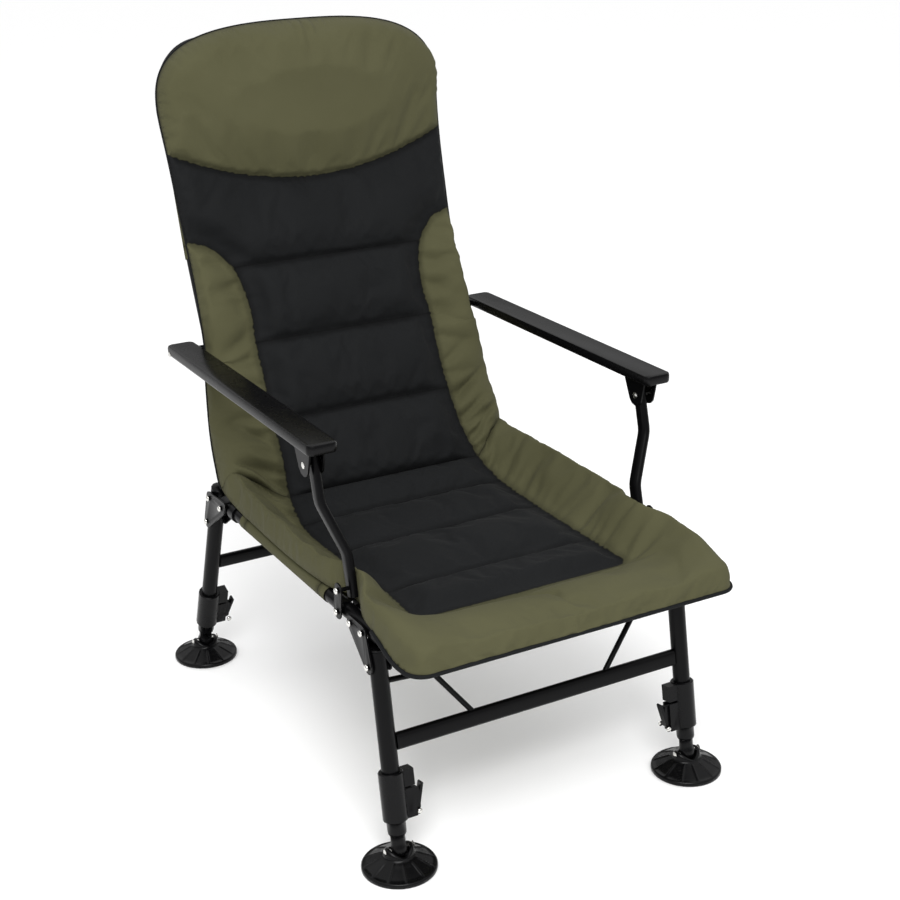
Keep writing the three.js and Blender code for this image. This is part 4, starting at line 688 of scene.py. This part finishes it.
# Seams, each a list of points on the right half of the cut
bolster_line = [(seat_t(-0.218), 0.173), (seat_t(-0.145), 0.171), (seat_t(0.012), 0.1755), (seat_t(0.1235), 0.1755),
                (crease_t, 0.168), (back_t(0.4), 0.16), (back_t(0.457), 0.157), (back_t(0.52), 0.1555),
                (back_t(0.571), 0.156), (back_t(0.619), 0.1525), (back_t(0.649), 0.156), (back_t(0.685), 0.168),
                (back_t(0.708), 0.188), (back_t(0.72), 0.206), (back_t(0.728), 0.234)]
panel_front_t = seat_t(-0.241)
panel_front_half, panel_corner = 0.15, 0.023
bolster_end_t = bolster_line[-1][0]
head_reach = 0.238


def bolster_x(t):
    return curve(bolster_line, t)


def head_seam_t(x):
    """The head seam hangs between the edges of the cloth in a shallow bow."""
    return back_t(0.803 + 0.055 * (np.abs(x) / head_reach) ** 2)


def level_seam(t, reach):
    spacing = 0.0055
    return [(float(x), t) for x in np.linspace(0, reach, max(4, int(reach / spacing)))]


front_seam = level_seam(panel_front_t, panel_front_half) + [
    (panel_front_half + panel_corner * math.sin(a), panel_front_t + panel_corner - panel_corner * math.cos(a))
    for a in np.linspace(0.3, math.pi / 2, 7)]
bolster_seam = [(float(bolster_x(t)), float(t)) for t in np.linspace(bolster_line[0][0], bolster_line[-2][0], 150)]
bolster_tip = [(x, float(np.interp(x, [0.206, 0.233], [bolster_line[-2][0], bolster_end_t])))
               for x in np.linspace(0.2105, 0.2305, 5)]
channel_ts = [seat_t(-0.145), seat_t(0.012), seat_t(0.1235), float(back_t(0.457)), float(back_t(0.571)),
              float(back_t(0.683))]
channel_seams = [level_seam(t, float(bolster_x(t))) for t in channel_ts]
crease_seam = level_seam(crease_t, float(half_width(crease_t)))
head_seam = [(float(x), float(head_seam_t(x))) for x in np.linspace(0, head_reach, 44)]

# A line of even points along the foot of the seat's side walls, where the cloth turns over the rails
wall_foot = 0.0125
wall_line = [(float(half_width(t)) - wall_foot, float(t))
             for t in np.linspace(seat_t(-0.3), crease_t - 0.006, 90)]


def mirrored(line):
    return line + [(-x, t) for x, t in line if x > 1e-6]


def chain(points, start):
    return [(start + i, start + i + 1) for i in range(len(points) - 1)]


def cut_pattern(spacing, lines):
    """Triangles of the flat cut: its outline, the lines that must be edges of it, and a filling of even cells."""
    right_side = outline_half()
    outline = right_side + [(-x, t) for x, t in reversed(right_side[1:-1])]
    points = list(outline)
    edges = [(i, (i + 1) % len(outline)) for i in range(len(outline))]
    for line in lines:
        for side in (1, -1):
            edges += chain(line, len(points))
            points += [(side * x, t) for x, t in line]
    fixed = np.array(points)
    random = np.random.default_rng(4)
    widest, row_share, jitter, margin, clear = 0.258, 0.866, 0.18, 0.4 * spacing, 0.6 * spacing
    rows = np.arange(0, total_t, spacing * row_share)
    grid = np.array([(x + (i % 2) * spacing / 2, t) for i, t in enumerate(rows)
                     for x in np.arange(-widest, widest, spacing)])
    grid = grid + random.uniform(-jitter, jitter, grid.shape) * spacing
    inside = np.abs(grid[:, 0]) < half_width(np.clip(grid[:, 1], 0, total_t)) - margin
    grid = grid[inside & (grid[:, 1] > margin)]
    near = nearest_distance(grid, fixed)
    points += [tuple(p) for p in grid[near > clear]]
    made = delaunay_2d_cdt([Vector(p) for p in points], edges, [], 1, 1e-5)
    return np.array([tuple(v) for v in made[0]]), [tuple(face) for face in made[2]]


def nearest_points(points, others):
    tree = KDTree(len(others))
    for i, (x, t) in enumerate(others):
        tree.insert((x, t, 0), i)
    tree.balance()
    return np.array([tuple(tree.find((x, t, 0))[0])[:2] for x, t in points])


def nearest_distance(points, others):
    return np.linalg.norm(nearest_points(points, others) - np.asarray(points), axis=1)


def quarter_round(distance, reach, power=2.0):
    past = 1 - np.clip(distance / reach, 0, 1)
    return (1 - past ** power) ** (1 / power)


seam_lines = [front_seam, bolster_seam, bolster_tip, crease_seam, head_seam] + channel_seams
pattern, cells = cut_pattern(front_cell, seam_lines + [wall_line])
px, pt = pattern[:, 0], pattern[:, 1]
outline_points = np.array(mirrored(outline_half()))
bolster_points = np.array(mirrored(front_seam + bolster_seam + bolster_tip))
every_seam = np.array(mirrored([point for line in seam_lines for point in line]))
crease_points = np.array(mirrored(crease_seam))
to_outline = nearest_distance(pattern, outline_points)
to_bolster_seam = nearest_distance(pattern, bolster_points)
to_seam = nearest_distance(pattern, every_seam)
to_crease = nearest_distance(pattern, crease_points)
on_outline = to_outline < on_line
on_seam = to_seam < on_line


def is_head(x, t):
    return t > head_seam_t(x) + 1e-5


def is_bolster(x, t):
    into_arc = np.clip((panel_front_t + panel_corner - t) / panel_corner, 0, 1)
    inner = bolster_x(np.clip(t, bolster_line[0][0], bolster_end_t)) - panel_corner * (1 - np.sqrt(1 - into_arc ** 2))
    return (((np.abs(x) > inner) & (t < bolster_end_t)) | (t < panel_front_t)) & ~is_head(x, t)


# Padding in front of the seams: a bolster rises between its two seams as a round roll, lower along the front edge
on_seat = pt < crease_t
rear = rear_depth(px, pt)
bolster = is_bolster(px, pt) | (to_bolster_seam < on_line)
roll_width = to_bolster_seam + to_outline
roll_at = np.clip(to_bolster_seam / np.maximum(roll_width, 1e-6), 0, 1)
side_rise = curve([(0, 0.02), (seat_t(-0.34), 0.027), (seat_t(-0.29), 0.036), (seat_t(-0.24), 0.044),
                   (seat_t(-0.19), 0.054), (seat_t(-0.16), 0.054), (seat_t(-0.12), 0.047), (seat_t(0.1), 0.046),
                   (crease_t, 0.05), (back_t(0.41), 0.044), (back_t(0.44), 0.03), (back_t(0.5), 0.023),
                   (back_t(0.6), 0.022), (back_t(0.7), 0.02), (total_t, 0.02)], pt)
front_rise = 0.017
front_share = smooth((0.235 - np.abs(px)) / 0.09) * smooth((panel_front_t + 0.025 - pt) / 0.025)
steepest = np.where(on_seat, 1.15, 0.64)
roll_rise = np.minimum(steepest * roll_width, side_rise + (front_rise - side_rise) * front_share)

# Section of a roll: a slope up from the inner seam to a crest near the edge, then a rounded wall down to the edge
crest_at = 0.72 + 0.08 * on_seat + 0.08 * smooth((0.245 - half_width(pt)) / 0.015) * on_seat
slope_part = 0.58
slope_at = np.minimum(roll_at / slope_part, 1)
wall_angle = np.clip((roll_at - slope_part) / (1 - slope_part), 0, 1) * math.pi / 2
section_x = np.where(roll_at < slope_part, crest_at * slope_at,
                     crest_at + (1 - crest_at) * np.sin(wall_angle) ** 0.75)
section_rise = np.where(roll_at < slope_part, 0.3 * np.sin(slope_at * math.pi / 2) + 0.7 * smooth(slope_at),
                        np.clip(np.cos(wall_angle), 0, 1) ** 0.75)
pinched = 0.55 + 0.45 * quarter_round(to_crease, 0.03)
roll = -rear * section_x + roll_rise * section_rise * pinched
drawn = np.where(bolster, section_x - roll_at, 0)[:, None] * (nearest_points(pattern, outline_points)
                                                             - nearest_points(pattern, bolster_points))
qx, qt = (pattern + drawn).T

# Panels swell between the seams and lie low beside the bolsters
seat_swell, back_swell, swell_reach = 0.011, 0.017, 0.045
swell = np.where(on_seat, seat_swell, back_swell) * quarter_round(to_seam, swell_reach) * smooth(
    to_bolster_seam / swell_reach)
panel = -rear + (swell + rear) * quarter_round(to_outline, 0.04, 2.6)
forward = np.where(bolster, roll, np.where(on_outline, -rear, panel))
forward = np.where(on_seam & ~on_outline & ~bolster, np.minimum(forward, 0.0), forward)


def puckers(along, away, count, reach, depth, seed):
    """Creases drawn in where the cloth is bunched at a seam, at even places shifted, slanted and sized at random."""
    draws = np.random.default_rng(seed)
    total = np.zeros_like(along)
    for place in np.linspace(0.01, total_t, count):
        centre = place + draws.uniform(-0.4, 0.4) * total_t / count
        slant, width = draws.uniform(-0.7, 0.7), draws.uniform(0.0045, 0.008)
        long, strong = reach * draws.uniform(0.5, 1.5), depth * draws.uniform(0.3, 1.0)
        total += strong * np.exp(-((along - centre - slant * away) / (width + 0.12 * away)) ** 2 - away / long)
    return total


# Four deeper creases cross each bolster near the fold, each by its distance past the crease, slant and depth
fold_creases = [(0.022, 0.25, 0.011), (0.052, -0.3, 0.013), (0.092, 0.45, 0.009), (-0.03, -0.2, 0.01)]
fold_width, fold_reach = 0.0075, 0.075
side = np.sign(px)
gather = np.zeros_like(px)
for half, seed in ((1, 11), (-1, 12)):
    mine = (side == half) & bolster
    along, away = pt[mine], to_bolster_seam[mine]
    gather[mine] += puckers(along, away, count=58, reach=0.034, depth=0.013, seed=seed)
    gather[mine] += puckers(along, away, count=19, reach=0.08, depth=0.007, seed=seed + 30)
    gather[mine] += puckers(along, to_outline[mine], count=60, reach=0.01, depth=0.0014, seed=seed + 10)
    beside = (side == half) & ~bolster & (pt < bolster_end_t)
    gather[beside] += puckers(pt[beside], to_bolster_seam[beside], count=70, reach=0.02, depth=0.0034, seed=seed + 20)
    for past_crease, slant, depth in fold_creases:
        line = crease_t + past_crease + half * 0.006 + slant * away
        gather[mine] += depth * np.exp(-((along - line) / fold_width) ** 2 - (away / fold_reach) ** 2)
crest_calm = np.where(bolster, 1 - 0.85 * smooth((roll_at - 0.5) / 0.2), 1)
gather = gather * smooth(to_seam / 0.004) * smooth(to_outline / 0.004) * crest_calm
deepest = 0.6 * np.clip(forward + rear, 0, None)
rest = surface(qx, qt, forward + 0.002 - np.minimum(gather, deepest)) + edge_shift(qx, qt)

olive_part, black_part, rear_part = 0, 1, 2
region = []
for a, b, c in cells:
    x, t = pattern[[a, b, c]].mean(axis=0)
    region.append(olive_part if is_head(x, t) or is_bolster(x, t) else black_part)

# The filling blows the front cloth up from its cut shape, with its seams and edge held, and less beside the bolsters
sim_frames = 20
furthest = 0.02
calm_share, calm_reach = 0.15, 0.035
front_mesh = bpy.data.meshes.new("mattress_front")
front_mesh.from_pydata([tuple(p) for p in rest], [], cells)
front = bpy.data.objects.new("mattress_front", front_mesh)
bpy.context.collection.objects.link(front)
held = front.vertex_groups.new(name="held")
held.add([int(i) for i in np.flatnonzero(on_seam | on_outline)], 1.0, "REPLACE")
cloth = front.modifiers.new("stuffed", "CLOTH")
settings = cloth.settings
settings.quality = 6
settings.mass = 0.25
settings.tension_stiffness = 22
settings.compression_stiffness = 22
settings.shear_stiffness = 8
settings.bending_stiffness = 2.5
settings.vertex_group_mass = "held"
settings.shrink_min = -0.02
settings.use_pressure = True
settings.uniform_pressure_force = 3.0
settings.effector_weights.gravity = 0
cloth.collision_settings.use_collision = False
scene = bpy.context.scene
cloth.point_cache.frame_start = 1
cloth.point_cache.frame_end = sim_frames
for number in range(1, sim_frames + 1):
    scene.frame_set(number)
graph = bpy.context.evaluated_depsgraph_get()
filled = np.array([tuple(v.co) for v in front.evaluated_get(graph).data.vertices])
share = calm_share + (1 - calm_share) * smooth(to_bolster_seam / calm_reach)
moved = (filled - rest) * share[:, None]
length = np.linalg.norm(moved, axis=1, keepdims=True)
rest = rest + moved * np.minimum(1, furthest / np.maximum(length, 1e-9))
scene.frame_set(1)
bpy.data.objects.remove(front)

# Rear cloth on coarse cells, and the two pieces that meet at the crease
rear_pattern, rear_cells = cut_pattern(rear_cell, [crease_seam])
rx, rt = rear_pattern[:, 0], rear_pattern[:, 1]
rear_on_outline = nearest_distance(rear_pattern, outline_points) < on_line
rear_points = surface(rx, rt, 0.002 * rear_on_outline - rear_depth(rx, rt)) + edge_shift(rx, rt)


def mattress_piece(name, from_t, to_t):
    made = bmesh.new()
    distance = made.verts.layers.float.new("seam_distance")
    front_at, rear_at = {}, {}

    def vertex(table, i, points, seam):
        if i not in table:
            table[i] = made.verts.new(points[i])
            table[i][distance] = seam[i]
        return table[i]

    # Each front vertex keeps its distance to the nearest seam, which the cloth's finish turns into a dark seam line
    # inside painted shade; the rear cloth is kept far from any seam.
    far_from_seam = np.full(len(rear_points), 1.0)
    for cell_points, kind in zip(cells, region):
        if from_t < pattern[list(cell_points), 1].mean() < to_t:
            face = made.faces.new([vertex(front_at, i, rest, to_seam) for i in cell_points])
            face.material_index = kind
    for cell_points in rear_cells:
        if from_t < rear_pattern[list(cell_points), 1].mean() < to_t:
            face = made.faces.new([vertex(rear_at, i, rear_points, far_from_seam) for i in reversed(cell_points)])
            face.material_index = rear_part
    bmesh.ops.remove_doubles(made, verts=made.verts, dist=2e-5)
    sharp = made.edges.layers.float.new("crease_edge")
    for edge in made.edges:
        if len({face.material_index == rear_part for face in edge.link_faces}) == 2:
            edge[sharp] = 1.0
    for face in made.faces:
        face.smooth = True
        face.material_index = min(face.material_index, black_part)
    mesh = bpy.data.meshes.new(name)
    made.to_mesh(mesh)
    made.free()
    mesh.materials.append(olive_cloth)
    mesh.materials.append(black_cloth)
    piece = bpy.data.objects.new(name, mesh)
    bpy.context.collection.objects.link(piece)
    finer = piece.modifiers.new("finer", "SUBSURF")
    finer.levels = finer.render_levels = 1
    return piece


seat_piece = mattress_piece("mattress_seat", 0, crease_t)
back_piece = mattress_piece("mattress_back", crease_t, total_t)

# Piping
# A cord covered in black cloth, sewn into the edge of the mattress. It is thick round the front of the seat, where it
# shows, and thin round the back.


def piping(name, from_t, to_t, radius):
    line = [(x, t) for x, t in outline_half() if from_t <= t <= to_t]
    ring = line + [(-x, t) for x, t in reversed(line) if x > 1e-6]
    if from_t == 0:
        ring = [(-x, t) for x, t in reversed(line) if x > 1e-6] + line
    flat = np.array(ring)
    route = surface(flat[:, 0], flat[:, 1], 0.001 - rear_depth(flat[:, 0], flat[:, 1]))
    route += edge_shift(flat[:, 0], flat[:, 1])
    route[:, 0] += np.sign(flat[:, 0]) * radius * 0.4
    curve_data = bpy.data.curves.new(name, "CURVE")
    curve_data.dimensions = "3D"
    curve_data.bevel_depth = radius
    curve_data.bevel_resolution = 3
    curve_data.use_fill_caps = True
    spline = curve_data.splines.new("POLY")
    spline.points.add(len(route) - 1)
    for spot, place in zip(spline.points, route):
        spot.co = (*place, 1)
    holder = bpy.data.objects.new(name + "_line", curve_data)
    bpy.context.collection.objects.link(holder)
    mesh = bpy.data.meshes.new_from_object(holder.evaluated_get(bpy.context.evaluated_depsgraph_get()))
    bpy.data.objects.remove(holder)
    made = bpy.data.objects.new(name, mesh)
    bpy.context.collection.objects.link(made)
    mesh.materials.clear()
    mesh.materials.append(black_cloth)
    for face in mesh.polygons:
        face.use_smooth = True
    stored = mesh.attributes.new("seam_distance", "FLOAT", "POINT")
    stored.data.foreach_set("value", np.full(len(mesh.vertices), 1.0, np.float32))
    return made


seat_piping = piping("seat_piping", 0, seat_t(-0.265), 0.003)
back_piping = piping("back_piping", crease_t, total_t, 0.0014)

# The seat and its piping ride on the seat frame, pressed in between the arm posts; the back piece and its piping keep
# the place they were built in, baked into their meshes.
for piece in (seat_piece, seat_piping):
    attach(piece, "seat")
    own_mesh(piece)
for piece in (back_piece, back_piping):
    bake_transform(piece)
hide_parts("seat_pad")
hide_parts("lumbar_pad", "back_pad", "head_pad")
